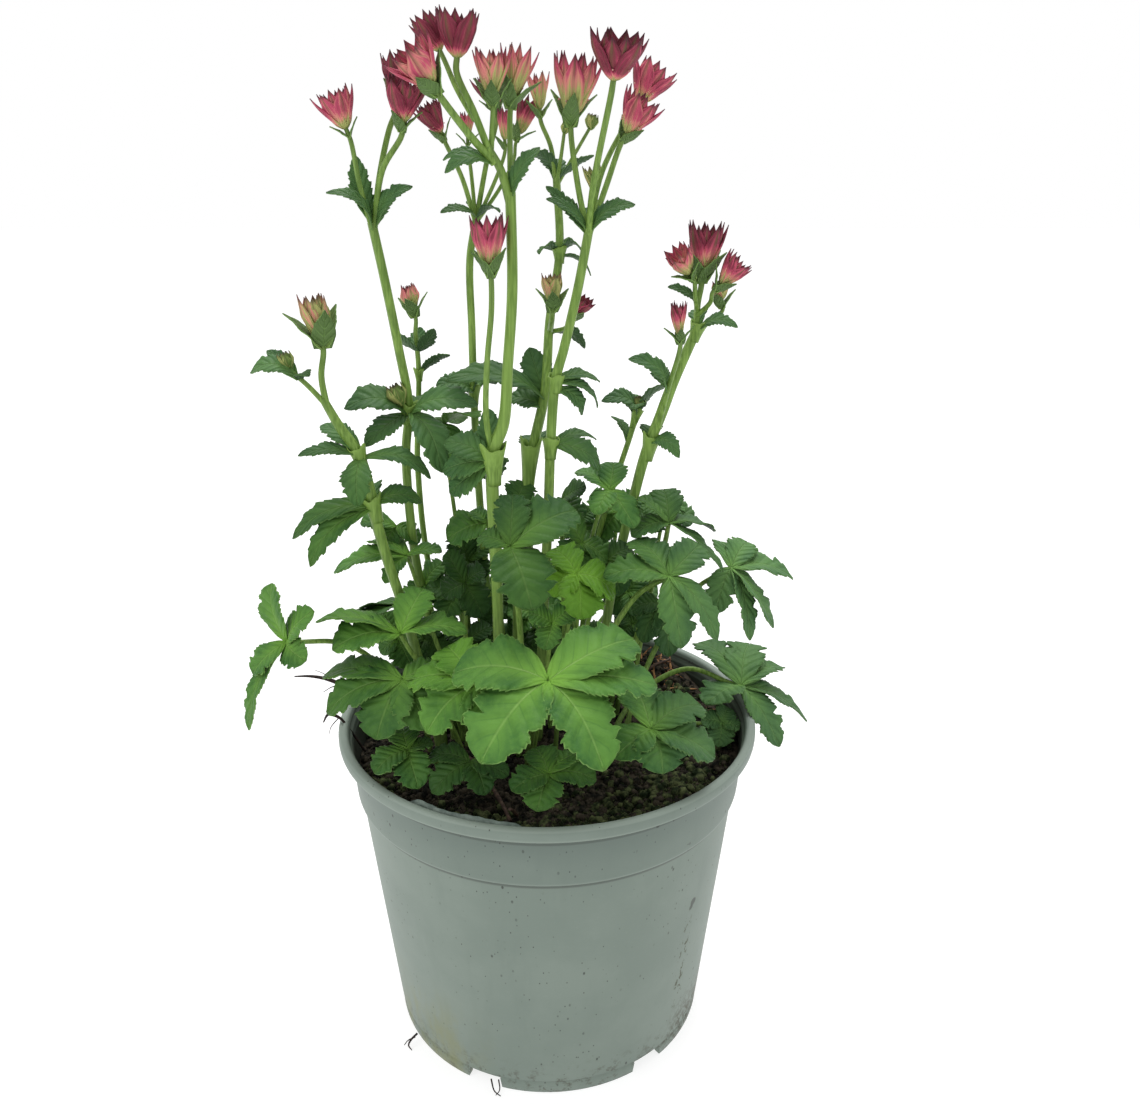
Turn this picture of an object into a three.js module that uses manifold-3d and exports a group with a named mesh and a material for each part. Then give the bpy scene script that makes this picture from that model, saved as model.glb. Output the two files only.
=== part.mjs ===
// Potted great masterwort in a round nursery pot.
// Millimetres, +Z up, the pot's axis on Z, the front of the plant at -Y.
import * as THREE from 'three';
import { mergeVertices } from 'three/addons/utils/BufferGeometryUtils.js';
import Module from 'manifold-3d';

const wasm = await Module();
wasm.setup();

// Driving dimensions
const potHeight = 136.5;
const rimRadius = 85;
const footRadius = 66.5;
const floorLevel = 8;
const feet = 6;
const notchHeight = 5.4;
const drainRadius = 4.5;
const soilLevel = 118;
const holeFloor = 110;
const around = 32; // sides of the pot and of the soil
const clearance = 0.3; // air between neighbouring pieces
const bladeThickness = 0.8;
const arch = 0.26; // how far a lobe bows upward, in lobe lengths

const up = new THREE.Vector3(0, 0, 1);
const vec = (p) => new THREE.Vector3(...p);
const rad = THREE.MathUtils.degToRad;

const paint = {
  pot: new THREE.MeshStandardMaterial({ color: 0x84948a, roughness: 0.55, metalness: 0 }),
  soil: new THREE.MeshStandardMaterial({ color: 0x2a221b, roughness: 1, metalness: 0 }),
  stem: new THREE.MeshStandardMaterial({ color: 0x76954b, roughness: 0.6, metalness: 0 }),
  leaf: new THREE.MeshStandardMaterial({ color: 0x47803c, roughness: 0.6, metalness: 0 }),
  bract: new THREE.MeshStandardMaterial({ color: 0xa53a5e, roughness: 0.65, metalness: 0 }),
};

const plant = new THREE.Group();
const footHoles = []; // x, y and radius of each stalk that stands in the soil

// A geometry as a solid: equal points are welded and collapsed triangles dropped.
function solid(geometry) {
  const bare = geometry.clone();
  bare.deleteAttribute('normal');
  bare.deleteAttribute('uv');
  const welded = mergeVertices(bare, 1e-3);
  const kept = [];
  for (let i = 0; i < welded.index.count; i += 3) {
    const [a, b, c] = [0, 1, 2].map((k) => welded.index.getX(i + k));
    if (a !== b && b !== c && c !== a) kept.push(a, b, c);
  }
  const make = (triangles) =>
    new wasm.Manifold(
      new wasm.Mesh({
        numProp: 3,
        vertProperties: welded.attributes.position.array,
        triVerts: new Uint32Array(triangles),
      }),
    );
  const made = make(kept);
  if (made.volume() > 0) return made;
  const turned = [];
  for (let i = 0; i < kept.length; i += 3) turned.push(kept[i], kept[i + 2], kept[i + 1]);
  return make(turned);
}

// A solid from a list of points and a list of faces, each three places in the point list.
function skin(points, faces) {
  const geometry = new THREE.BufferGeometry();
  const flat = points.flatMap((p) => p.toArray());
  geometry.setAttribute('position', new THREE.Float32BufferAttribute(flat, 3));
  geometry.setIndex(faces.flat());
  return solid(geometry);
}

function add(name, body, material) {
  const shape = body.getMesh();
  const geometry = new THREE.BufferGeometry();
  const points = new Float32Array(shape.vertProperties);
  geometry.setAttribute('position', new THREE.BufferAttribute(points, 3));
  geometry.setIndex(new THREE.BufferAttribute(new Uint32Array(shape.triVerts), 1));
  geometry.computeVertexNormals();
  const mesh = new THREE.Mesh(geometry, material);
  mesh.name = name;
  plant.add(mesh);
}

// Rings of equal point counts joined into a closed skin; the ends are flat.
function loft(rings) {
  const n = rings[0].length;
  const faces = [];
  rings.slice(1).forEach((_, i) => {
    for (let k = 0; k < n; k++) {
      const a = i * n + k;
      const b = i * n + ((k + 1) % n);
      faces.push([a, b, b + n], [a, b + n, a + n]);
    }
  });
  const last = (rings.length - 1) * n;
  for (let k = 1; k < n - 1; k++) faces.push([0, k + 1, k], [last, last + k, last + k + 1]);
  return skin(rings.flat(), faces);
}

// A round stalk along a smooth curve, its radius running through the given radii.
function limb(path, radii, sides = 6, steps = path.length * 2 - 2) {
  const curve = new THREE.CatmullRomCurve3(path.map(vec), false, 'centripetal');
  const radiusAt = (t) => {
    const at = t * (radii.length - 1);
    const i = Math.min(Math.floor(at), radii.length - 2);
    return radii[i] + (radii[i + 1] - radii[i]) * (at - i);
  };
  let across = new THREE.Vector3(1, 0, 0);
  const rings = [];
  for (let i = 0; i <= steps; i++) {
    const t = i / steps;
    const centre = curve.getPoint(t);
    const along = curve.getTangent(t);
    across.addScaledVector(along, -across.dot(along)).normalize();
    const side = new THREE.Vector3().crossVectors(along, across);
    rings.push(
      Array.from({ length: sides }, (_, k) => {
        const a = (2 * Math.PI * (k + 0.5)) / sides;
        return centre
          .clone()
          .addScaledVector(across, radiusAt(t) * Math.cos(a))
          .addScaledVector(side, radiusAt(t) * Math.sin(a));
      }),
    );
  }
  return loft(rings);
}

// A stalk's foot: straight up out of a hole in the soil, then on along the path.
function rooted([x, y], path, radii, sides = 5) {
  footHoles.push([x, y, radii[0]]);
  const foot = [[x, y, holeFloor + clearance], [x, y, soilLevel + 5]];
  return limb([...foot, ...path], radii, sides, path.length + 1);
}

// One small pointed leaf: an arched, folded blade, pointed at both ends, with its foot sunk in the stem.
// Unless its face is given, it tilts to the side of the plant that it stands on.
function blade({ from, to, w, lift = 2, face, rings = 2 }) {
  const a = vec(from);
  const b = vec(to);
  const along = b.clone().sub(a).normalize();
  const out = vec(face ?? (to[1] > 22 ? [0, 0.4, 0.9] : [0, -0.5, 0.85]));
  out.addScaledVector(along, -out.dot(along)).normalize();
  const middle = a.clone().lerp(b, 0.5).addScaledVector(out, lift * 2);
  const curve = new THREE.QuadraticBezierCurve3(a, middle, b);
  const across = new THREE.Vector3().crossVectors(out, along).normalize();
  const places = rings === 2 ? [[0.5, 1.15]] : [[0.36, 1.03], [0.68, 1.15]];
  const sections = places.map(([t, width]) => {
    const centre = curve.getPoint(t);
    const normal = new THREE.Vector3().crossVectors(curve.getTangent(t), across).normalize();
    const at = (side, height) =>
      centre
        .clone()
        .addScaledVector(across, side * width * w)
        .addScaledVector(normal, height);
    const fold = 0.25 * w * width;
    return [
      at(-1, fold),
      at(0, 0),
      at(1, fold),
      at(1, fold - bladeThickness),
      at(0, -bladeThickness),
      at(-1, fold - bladeThickness),
    ];
  });
  return spindle(a, sections, b);
}

// Rings of equal point counts joined into a closed skin with a point at each end.
function spindle(start, rings, end) {
  const n = rings[0].length;
  const points = [start, ...rings.flat(), end];
  const last = points.length - 1;
  const faces = [];
  for (let k = 0; k < n; k++) {
    const q = (k + 1) % n;
    faces.push([0, 1 + q, 1 + k]);
    rings.slice(1).forEach((_, i) => {
      const [c, d] = [1 + i * n + k, 1 + i * n + q];
      faces.push([c, d, d + n], [c, d + n, c + n]);
    });
    faces.push([last - n + k, last - n + q, last]);
  }
  return skin(points, faces);
}

// A palmate leaf blade as one sheet of even thickness. Each lobe is the offset of its tip from the hub and
// its half width; the lobes share the points between them.
function palmate(hub, lobes, normal = [0, 0, 1], plain = false) {
  const centre = vec(hub);
  const face = vec(normal).normalize();
  const ahead = vec(lobes[0]);
  ahead.addScaledVector(face, -ahead.dot(face)).normalize();
  const left = new THREE.Vector3().crossVectors(face, ahead);
  const angle = (p) => Math.atan2(p.dot(left), p.dot(ahead));
  const sorted = lobes
    .map(([x, y, z, w]) => ({ tip: new THREE.Vector3(x, y, z), w }))
    .sort((p, q) => angle(p.tip) - angle(q.tip));
  const top = [centre.clone()];
  const normals = [face.clone()];
  const put = (p, n) => {
    top.push(p);
    normals.push(n);
    return top.length - 1;
  };
  const between = sorted.map((lobe, i) => {
    const next = sorted[(i + 1) % sorted.length];
    let gap = angle(next.tip) - angle(lobe.tip);
    if (gap <= 0) gap += 2 * Math.PI;
    const middle = angle(lobe.tip) + gap / 2;
    const reach = gap > 1.9 ? 1.6 : 0.17 * Math.min(lobe.tip.length(), next.tip.length());
    const dir = ahead.clone().multiplyScalar(Math.cos(middle)).addScaledVector(left, Math.sin(middle));
    return put(centre.clone().addScaledVector(dir, reach), face.clone());
  });
  const faces = [];
  const outline = [];
  sorted.forEach(({ tip, w }, i) => {
    const end = centre.clone().add(tip);
    const middle = centre.clone().addScaledVector(tip, 0.5).addScaledVector(face, arch * tip.length());
    const curve = new THREE.QuadraticBezierCurve3(centre, middle, end);
    const across = new THREE.Vector3().crossVectors(face, tip).normalize();
    const place = (t, side) => {
      const n = new THREE.Vector3().crossVectors(curve.getTangent(t), across).normalize();
      const p = curve.getPoint(t).addScaledVector(across, side * w);
      return put(p.addScaledVector(n, Math.abs(side) * w * 0.2), n);
    };
    const s = between[i];
    const q = between[(i + sorted.length - 1) % sorted.length];
    const point = place(1, 0);
    if (plain) {
      const m = place(0.55, 0);
      const [l1, l2] = [place(0.4, 0.84), place(0.7, 1.1)];
      const [r1, r2] = [place(0.4, -0.84), place(0.7, -1.1)];
      faces.push([0, m, s], [m, l1, s], [m, l2, l1], [m, point, l2]);
      faces.push([0, q, m], [m, q, r1], [m, r1, r2], [m, r2, point]);
      outline.push(q, r1, r2, point, l2, l1);
      return;
    }
    const m1 = place(0.42, 0);
    const m2 = place(0.74, 0);
    const half = (side) => [place(0.36, 0.82 * side), place(0.63, 1.14 * side), place(0.85, 0.68 * side)];
    const [l1, l2, l3] = half(1);
    const [r1, r2, r3] = half(-1);
    faces.push([0, m1, s], [m1, l1, s], [m1, l2, l1], [m1, m2, l2], [m2, l3, l2], [m2, point, l3]);
    faces.push([0, q, m1], [m1, q, r1], [m1, r1, r2], [m1, r2, m2], [m2, r2, r3], [m2, r3, point]);
    outline.push(q, r1, r2, r3, point, l3, l2, l1);
  });
  const n = top.length;
  const bottom = top.map((p, i) => p.clone().addScaledVector(normals[i], -bladeThickness));
  const all = [...faces, ...faces.map(([a, b, c]) => [a + n, c + n, b + n])];
  outline.forEach((a, i) => {
    const b = outline[(i + 1) % outline.length];
    all.push([a + n, b + n, b], [a + n, b, a]);
  });
  return skin([...top, ...bottom], all);
}

// A bloom: a cup of pointed bracts joined at the base, every second tip standing more upright.
function cup({ base, top, mouth, belly = mouth * 0.8 }) {
  const axis = vec(top).sub(vec(base));
  const height = axis.length();
  const bracts = mouth > 8 ? 12 : mouth >= 5 ? 10 : 8;
  const turn = new THREE.Quaternion().setFromUnitVectors(up, axis.normalize());
  const place = (radius, level, step) => {
    const a = (2 * Math.PI * step) / bracts;
    return new THREE.Vector3(radius * Math.cos(a), radius * Math.sin(a), level * height)
      .applyQuaternion(turn)
      .add(vec(base));
  };
  const wall = 0.8;
  const points = [place(0, 0, 0), place(0, 0.44, 0)];
  const rows = (make) => {
    const first = points.length;
    for (let k = 0; k < bracts; k++) points.push(make(k));
    return (k) => first + (k % bracts);
  };
  const neck = rows((k) => place(belly * 0.34, 0.1, k));
  const valley = rows((k) => place(belly * 0.94, 0.52, k));
  const back = rows((k) => place((belly + mouth) * (k % 2 ? 0.5 : 0.54), 0.7, k + 0.5));
  const tip = rows((k) => place(mouth * (k % 2 ? 0.76 : 1), k % 2 ? 1 : 0.93, k + 0.5));
  const innerValley = rows((k) => place(belly * 0.94 - wall, 0.54, k));
  const innerBack = rows((k) => place((belly + mouth) * (k % 2 ? 0.5 : 0.54) - wall, 0.72, k + 0.5));
  const faces = [];
  for (let k = 0; k < bracts; k++) {
    faces.push([0, neck(k + 1), neck(k)]);
    faces.push([neck(k), neck(k + 1), valley(k + 1)], [neck(k), valley(k + 1), valley(k)]);
    faces.push([valley(k), valley(k + 1), back(k)]);
    faces.push([valley(k), back(k), tip(k)], [back(k), valley(k + 1), tip(k)]);
    faces.push([1, innerValley(k), innerValley(k + 1)], [innerValley(k), innerBack(k), innerValley(k + 1)]);
    faces.push([innerValley(k), tip(k), innerBack(k)], [innerBack(k), tip(k), innerValley(k + 1)]);
    faces.push([valley(k), tip(k), innerValley(k)], [valley(k + 1), innerValley(k + 1), tip(k)]);
  }
  return skin(points, faces);
}

// Pot
function pot() {
  const outline = [
    [footRadius, 0], [77.5, 108], [79, 111], [81.3, 131.5], [rimRadius, 131.5], [rimRadius, potHeight - 1],
    [84, potHeight], [82, potHeight], [81, 135], [79.8, 131], [77.4, 111.5], [76, 108], [65.3, floorLevel],
    [0, floorLevel], [0, 6.5], [62, 6.5], [63.5, 0], [footRadius, 0],
  ];
  const turned = new THREE.LatheGeometry(outline.map(([r, z]) => new THREE.Vector2(r, z)), around);
  let body = solid(turned.rotateX(Math.PI / 2));
  const notch = new THREE.Shape([
    new THREE.Vector2(-8, -1),
    new THREE.Vector2(8, -1),
    new THREE.Vector2(6.8, notchHeight),
    new THREE.Vector2(-6.8, notchHeight),
  ]);
  for (let k = 0; k < feet; k++) {
    const heading = rad(-53.5 + (360 / feet) * k);
    const slot = new THREE.ExtrudeGeometry(notch, { depth: 20, bevelEnabled: false });
    slot.rotateX(Math.PI / 2).translate(0, 74, 0).rotateZ(heading - Math.PI / 2);
    body = body.subtract(solid(slot));
    const drain = new THREE.CylinderGeometry(drainRadius, drainRadius, 6, 6).rotateX(Math.PI / 2);
    drain.translate(48 * Math.cos(heading), 48 * Math.sin(heading), 7.2);
    body = body.subtract(solid(drain));
  }
  return body;
}

// Soil: it follows the pot's inner wall and has a low mound round the crown of the plant.
function soil() {
  const relief = (x, y) =>
    2 * Math.sin(x / 13 + 1) * Math.cos(y / 11) +
    Math.sin(x / 6 - y / 7) +
    3 * Math.exp(-((x + 12) ** 2 + (y - 4) ** 2) / 1200);
  const rows = [
    [0, floorLevel + clearance], [65, floorLevel + clearance], [75.7, 108], [77.1, 111.5],
    [77.9, soilLevel], [66, null], [36, null], [0, null],
  ];
  const points = [];
  const at = (r, z, k) => {
    const a = (2 * Math.PI * k) / around;
    const x = r * Math.sin(a);
    const y = -r * Math.cos(a);
    return new THREE.Vector3(x, y, z ?? soilLevel + relief(x, y) * Math.min(1, (77.9 - r) / 10));
  };
  rows.forEach(([r, z]) => {
    if (r === 0) points.push(at(0, z, 0));
    else for (let k = 0; k < around; k++) points.push(at(r, z, k));
  });
  const faces = [];
  const ring = (i, k) => 1 + (i - 1) * around + (k % around);
  for (let k = 0; k < around; k++) {
    faces.push([0, ring(1, k + 1), ring(1, k)]);
    for (let i = 1; i < rows.length - 2; i++) {
      faces.push([ring(i, k), ring(i, k + 1), ring(i + 1, k + 1)]);
      faces.push([ring(i, k), ring(i + 1, k + 1), ring(i + 1, k)]);
    }
    faces.push([ring(rows.length - 2, k), ring(rows.length - 2, k + 1), points.length - 1]);
  }
  let body = skin(points, faces);
  footHoles.forEach(([x, y, r]) => {
    const wide = (r + clearance) / Math.cos(Math.PI / 5) + 0.05;
    const hole = new THREE.CylinderGeometry(wide, wide, 30, 5).rotateX(Math.PI / 2);
    body = body.subtract(solid(hole.translate(x, y, holeFloor + 15)));
  });
  return body;
}

// Blooms: foot of the cup, middle of its mouth and radius of the mouth, with the belly's radius for a bud.
const blooms = {
  f1: { base: [-66, -2, 358], top: [-70, -3, 370], mouth: 6.5 },
  f2: { base: [-50, 8, 369], top: [-50, 10, 382], mouth: 5 },
  f3: { base: [-47, -2, 360], top: [-45, -5, 374], mouth: 7.5 },
  f4: { base: [-34, -25, 369], top: [-42, -30, 380], mouth: 8 },
  f5: { base: [-27, -16, 378], top: [-26, -16, 392], mouth: 7.5 },
  f6: { base: [-33, -7, 381], top: [-38, -5, 391.5], mouth: 5.5 },
  f7: { base: [-16, -15, 367], top: [-16, -17, 381], mouth: 6 },
  f8: { base: [-10, -6, 367], top: [-7, -4, 383], mouth: 5.5 },
  f9: { base: [-18, 42, 368], top: [-20, 42, 379], mouth: 6.5 },
  f10: { base: [-37, 26, 358], top: [-42, 24, 368.5], mouth: 5.5 },
  f11: { base: [-28, 36, 357], top: [-28, 36, 366], mouth: 2.8 },
  f12: { base: [-14, 30, 356], top: [-14, 30, 367], mouth: 3 },
  f13: { base: [-9, 46, 359], top: [-4, 48, 372], mouth: 4.5 },
  f14: { base: [-1, 40, 367], top: [-2, 40, 380], mouth: 4 },
  f15: { base: [10, 4, 362], top: [12, 2, 382], mouth: 9 },
  f16: { base: [23, -12, 372], top: [25, -16, 386], mouth: 10.5 },
  f17: { base: [34, 18, 368], top: [41, 20, 380], mouth: 8 },
  f18: { base: [29, 6, 357], top: [36, 4, 369], mouth: 7.5 },
  f19: { base: [19, 20, 338], top: [18, 20, 347], mouth: 4 },
  f20: { base: [-18, -20, 314], top: [-19, -20, 331], mouth: 6.5 },
  f21: { base: [-51, 32, 295], top: [-53, 32, 304.5], mouth: 2, belly: 3.6 },
  f22: { base: [-79, -8, 289], top: [-81, -8, 305], mouth: 5, belly: 5.2 },
  f23: { base: [12, 16, 295], top: [16, 14, 301], mouth: 4 },
  f24: { base: [3, 13, 299], top: [3, 13, 310], mouth: 4.5 },
  f25: { base: [59, 16, 309], top: [60, 16, 328], mouth: 7.5 },
  f26: { base: [53, 8, 310], top: [47, 4, 318.5], mouth: 5.5 },
  f27: { base: [65, 11, 306], top: [73, 10, 315], mouth: 5.5 },
  f28: { base: [68, 24, 299], top: [67, 24, 306.5], mouth: 4 },
  f29: { base: [50, 6, 288], top: [49, 6, 300.5], mouth: 3.2 },
};
Object.entries(blooms).forEach(([id, bloom]) => {
  add('bloom_' + id.slice(1).padStart(2, '0'), cup(bloom), paint.bract);
});

// Green sepals in a ring under a bloom, wide of its cup.
function sepals(id, count, reach, w, phase = 0) {
  const { base, top } = blooms[id];
  const axis = vec(top).sub(vec(base)).normalize();
  const turn = new THREE.Quaternion().setFromUnitVectors(up, axis);
  return Array.from({ length: count }, (_, k) => {
    const a = rad(phase + (360 / count) * k);
    const out = new THREE.Vector3(Math.cos(a), Math.sin(a), 0).applyQuaternion(turn);
    const across = new THREE.Vector3().crossVectors(axis, out);
    const inner = axis.clone().multiplyScalar(0.6).addScaledVector(out, -0.8);
    const along = axis.clone().multiplyScalar(0.8).addScaledVector(out, 0.6);
    const section = (t, half, deep) => {
      const at = vec(base).addScaledVector(axis, -3).addScaledVector(along, t * reach);
      return [
        at.clone().addScaledVector(across, half).addScaledVector(inner, 0.2 * half),
        at.clone().addScaledVector(inner, -deep),
        at.clone().addScaledVector(across, -half).addScaledVector(inner, 0.2 * half),
      ];
    };
    const foot = vec(base).addScaledVector(axis, -3.4);
    const end = section(1, 0, 0)[0];
    return spindle(foot, [section(0.5, w, 1)], end);
  });
}

// A green leafy stem with its forks, flower stalks and small leaves as one body.
function stem(name, { foot, main, r, arms = [], leaves = [], green = [], buds = [] }) {
  const pieces = [];
  arms.forEach(({ path, to, thick = 1.1 }) => {
    const end = [];
    if (to) {
      const { base, top } = blooms[to];
      const axis = vec(top).sub(vec(base)).normalize();
      end.push(vec(base).addScaledVector(axis, -4).toArray());
      end.push(vec(base).addScaledVector(axis, -clearance).toArray());
    }
    pieces.push(limb([...path, ...end], [thick * 1.15, thick], 4, path.length + end.length - 1));
  });
  leaves.forEach((leaf) => pieces.push(blade(leaf)));
  green.forEach(([id, ...rest]) => pieces.push(...sepals(id, ...rest)));
  buds.forEach(({ at, dir, size }) => {
    const axis = vec(dir).normalize();
    const path = [0, 0.5, 1].map((t) => vec(at).addScaledVector(axis, t * size).toArray());
    pieces.push(limb(path, [0.8, size * 0.42, size * 0.4, 0.5], 6, 3));
  });
  const body = pieces.reduce((sum, piece) => sum.add(piece), rooted(foot, main, r));
  add(name, body, paint.stem);
}

// Tall front stem with the thick left fork
stem('stem_a', {
  foot: [-20, -12],
  main: [
    [-19, -12, 178], [-19, -13, 207], [-19, -14, 249], [-15, -14, 260], [-13, -14, 281],
    [-11, -13, 306], [-11, -12, 338],
  ],
  r: [2.8, 2.4, 2.9, 2.2, 2.1],
  arms: [
    { path: [[-19, -14, 247], [-21, -16, 262], [-20, -20, 282], [-18, -20, 300]], to: 'f20', thick: 1.3 },
    { path: [[-11, -12, 334], [-14, -14, 345], [-18, -16, 352]], thick: 1.8 },
    { path: [[-16, -15, 347], [-24, -20, 356]], to: 'f4', thick: 1.5 },
    { path: [[-17, -16, 349], [-22, -16, 362]], to: 'f5', thick: 1.4 },
    { path: [[-22, -15, 360], [-28, -10, 370]], to: 'f6' },
    { path: [[-17, -15, 349], [-16.5, -14, 357]], to: 'f7' },
    { path: [[-11, -12, 335], [-11, -9, 350]], to: 'f8', thick: 1.2 },
  ],
  leaves: [
    { from: [-11, -12, 336], to: [-1, -12, 352], w: 3.2, lift: 4 },
    { from: [-17, -16, 347], to: [-32, -20, 344], w: 3.2, lift: 4 },
    { from: [-18, -16, 348], to: [-33, -14, 348], w: 1.8, lift: 3 },
    { from: [-20, -15, 247], to: [-37, -9, 252], w: 4.8, lift: 2, face: [0, -0.7, 0.7] },
    { from: [-20, -14, 246], to: [-38, -9, 241], w: 5.2, lift: 2, face: [0, -0.7, 0.7] },
    { from: [-20, -14, 245], to: [-36, -8, 232], w: 5, lift: 2, face: [0, -0.7, 0.7] },
    { from: [-19, -12, 246], to: [-21, -7, 264], w: 4, lift: 1, face: [0, -1, 0.2], rings: 3 },
    { from: [-19, -14, 246], to: [-20, 2, 233], w: 5, lift: 3 },
  ],
  green: [['f4', 3, 11, 3.4, 20], ['f7', 3, 9, 3, 30], ['f8', 3, 11, 3.4, 0]],
});

stem('stem_b', {
  foot: [-22, 22],
  main: [[-27, 24, 220], [-28, 25, 261], [-28, 26, 288], [-28, 28, 314], [-25, 30, 330]],
  r: [1.9, 1.6],
  arms: [
    { path: [[-25.5, 29.6, 327], [-30, 28, 343]], to: 'f10' },
    { path: [[-25.5, 30, 327], [-27, 34, 345]], to: 'f11', thick: 0.9 },
    { path: [[-25.5, 30, 327], [-21, 36, 349]], to: 'f9', thick: 1.2 },
    { path: [[-25.5, 30, 327], [-16, 36, 340], [-11, 42, 350]], to: 'f13', thick: 0.9 },
    { path: [[-25.5, 30, 327], [-17, 31, 344]], to: 'f12', thick: 0.9 },
  ],
  leaves: [
    { from: [-25, 29, 329], to: [-38, 22, 331], w: 2.8, lift: 3 },
    { from: [-25, 29, 329], to: [-16, 25, 331], w: 2.8, lift: 3 },
    { from: [-25, 31, 328], to: [-28, 44, 332], w: 3, lift: 3 },
    { from: [-28, 25, 264], to: [-42, 17, 268], w: 4.6, lift: 3 },
    { from: [-28, 25, 264], to: [-15, 18, 275], w: 4, lift: 4, rings: 3 },
    { from: [-28, 26, 263], to: [-38, 38, 266], w: 4.6, lift: 4 },
    { from: [-28, 26, 263], to: [-20, 42, 264], w: 4.6, lift: 4 },
  ],
  green: [['f10', 2, 6, 1.8, 0], ['f13', 2, 6, 1.8, 10]],
});

stem('stem_c', {
  foot: [-40, 10],
  main: [
    [-52, 14, 190], [-54, 12, 219], [-54, 12, 244], [-52, 12, 261], [-54, 8, 283], [-57, 4, 308],
    [-60, 2, 328],
  ],
  r: [2.2, 1.9],
  arms: [
    { path: [[-59.6, 2, 324], [-63, 0, 340]], to: 'f1' },
    { path: [[-59.6, 2, 324], [-57, 4, 342], [-53, 7, 358]], to: 'f2', thick: 1.3 },
    { path: [[-59.6, 2, 325], [-55, 0, 345]], to: 'f3', thick: 1.3 },
  ],
  leaves: [
    { from: [-60, 2, 325], to: [-74, -4, 338], w: 3.2, lift: 6 },
    { from: [-59, 2, 326], to: [-45, 0, 340], w: 3, lift: 4 },
    { from: [-60, 2, 328], to: [-65, 6, 350], w: 3.2, lift: 1, face: [0.2, -1, 0.3] },
    { from: [-60, 3, 326], to: [-58, 16, 338], w: 3, lift: 2 },
    { from: [-53, 11, 259], to: [-75, 3, 262], w: 6.4, lift: 6, rings: 3 },
    { from: [-53, 11, 258], to: [-67, -3, 249], w: 4.6, lift: 3, rings: 3 },
    { from: [-52, 13, 259], to: [-40, 32, 260], w: 5, lift: 4 },
    { from: [-53, 13, 259], to: [-62, 34, 258], w: 5, lift: 4 },
  ],
  green: [['f1', 2, 6, 1.8, 0], ['f2', 2, 8, 2.4, 60], ['f3', 3, 8, 2.6, 0]],
});

stem('stem_d', {
  foot: [-4, 2],
  main: [[1, 2, 224], [2, 0, 250], [4, 0, 273], [7, 0, 284], [12, 0, 305], [16, 0, 326]],
  r: [2.3, 2.2, 1.9],
  arms: [
    { path: [[15.6, 0, 323], [12, 2, 340]], to: 'f15', thick: 1.3 },
    { path: [[15.6, 0, 323], [17, -6, 340]], to: 'f16', thick: 1.4 },
    { path: [[15.6, 0, 323], [22, 4, 340]], to: 'f18', thick: 1.3 },
    { path: [[15.6, 0, 323], [21, 10, 345]], to: 'f17', thick: 1.2 },
    { path: [[15.6, 0, 324], [19, 10, 329]], to: 'f19', thick: 0.9 },
  ],
  leaves: [
    { from: [15.5, 0, 324], to: [1, 2, 340], w: 2.4, lift: 1 },
    { from: [15.5, 0, 325], to: [1, -4, 336], w: 2.2, lift: 3 },
    { from: [16, 0, 325], to: [32, 0, 334], w: 3, lift: 4, rings: 3 },
    { from: [16, 1, 325], to: [12, 14, 332], w: 2.6, lift: 2 },
    { from: [4, 0, 273], to: [21, 12, 270], w: 2.8, lift: 3, rings: 3 },
    { from: [4, 0, 272], to: [20, 7, 261], w: 2.6, lift: 5 },
    { from: [3.5, 0, 270], to: [14, 3, 259], w: 3, lift: 4 },
    { from: [2, 0, 249], to: [21, 6, 237], w: 4.6, lift: 5, rings: 3 },
    { from: [2, 1, 248], to: [20, 14, 247], w: 2.6, lift: 4 },
  ],
  green: [['f15', 3, 12, 3.6, 30], ['f18', 2, 8, 2.4, 130]],
});

stem('stem_e', {
  foot: [2, 20],
  main: [[-8, 14, 214], [-6, 15, 238], [0, 20, 265], [2, 26, 291], [6, 31, 317], [5, 36, 343]],
  r: [2, 2.2, 2.4, 2, 1.7],
  arms: [
    { path: [[5, 35.6, 340], [3, 38, 354]], to: 'f14' },
    { path: [[5, 35.6, 340], [13, 41, 353], [18, 44, 361]], thick: 0.9 },
    { path: [[5, 35.6, 340], [7, 34, 352], [8, 33, 359]], thick: 0.9 },
    { path: [[2, 26, 287], [8, 21, 289]], to: 'f23', thick: 1 },
    { path: [[2, 26, 287], [2.5, 19, 290]], to: 'f24', thick: 1.4 },
  ],
  leaves: [
    { from: [5, 36, 342], to: [-5, 34, 352], w: 3.2, lift: 4 },
    { from: [5, 36, 342], to: [19, 34, 351], w: 2, lift: 1 },
    { from: [5, 36, 341], to: [4, 50, 350], w: 3, lift: 3 },
    { from: [6, 31, 316], to: [-2, 26, 316], w: 3.2, lift: 3 },
    { from: [6, 31, 316], to: [15, 28, 316], w: 3.2, lift: 4 },
    { from: [6, 31, 315], to: [18, 26, 308], w: 1.8, lift: 3 },
    { from: [6, 32, 316], to: [8, 42, 318], w: 3, lift: 3 },
    { from: [0, 20, 262], to: [-6, 26, 281], w: 5, lift: 1, face: [0, -1, 0.3] },
    { from: [0, 20, 262], to: [-37, 5, 272], w: 6, lift: 7, face: [0, -0.5, 0.9], rings: 3 },
    { from: [-1, 19, 259], to: [-15, 20, 262], w: 5, lift: 3 },
    { from: [2, 25, 286], to: [16, 30, 280], w: 3.4, lift: 4 },
    { from: [-6, 16, 240], to: [-2, 36, 243], w: 5, lift: 4 },
  ],
  green: [['f24', 3, 9, 3.4, 30], ['f23', 2, 8, 2.2, 100], ['f14', 2, 7, 2, 30]],
  buds: [
    { at: [18, 44, 360], dir: [0.2, 0, 1], size: 6 },
    { at: [8, 33, 358], dir: [0.2, 0, 1], size: 4.5 },
  ],
});

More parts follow.
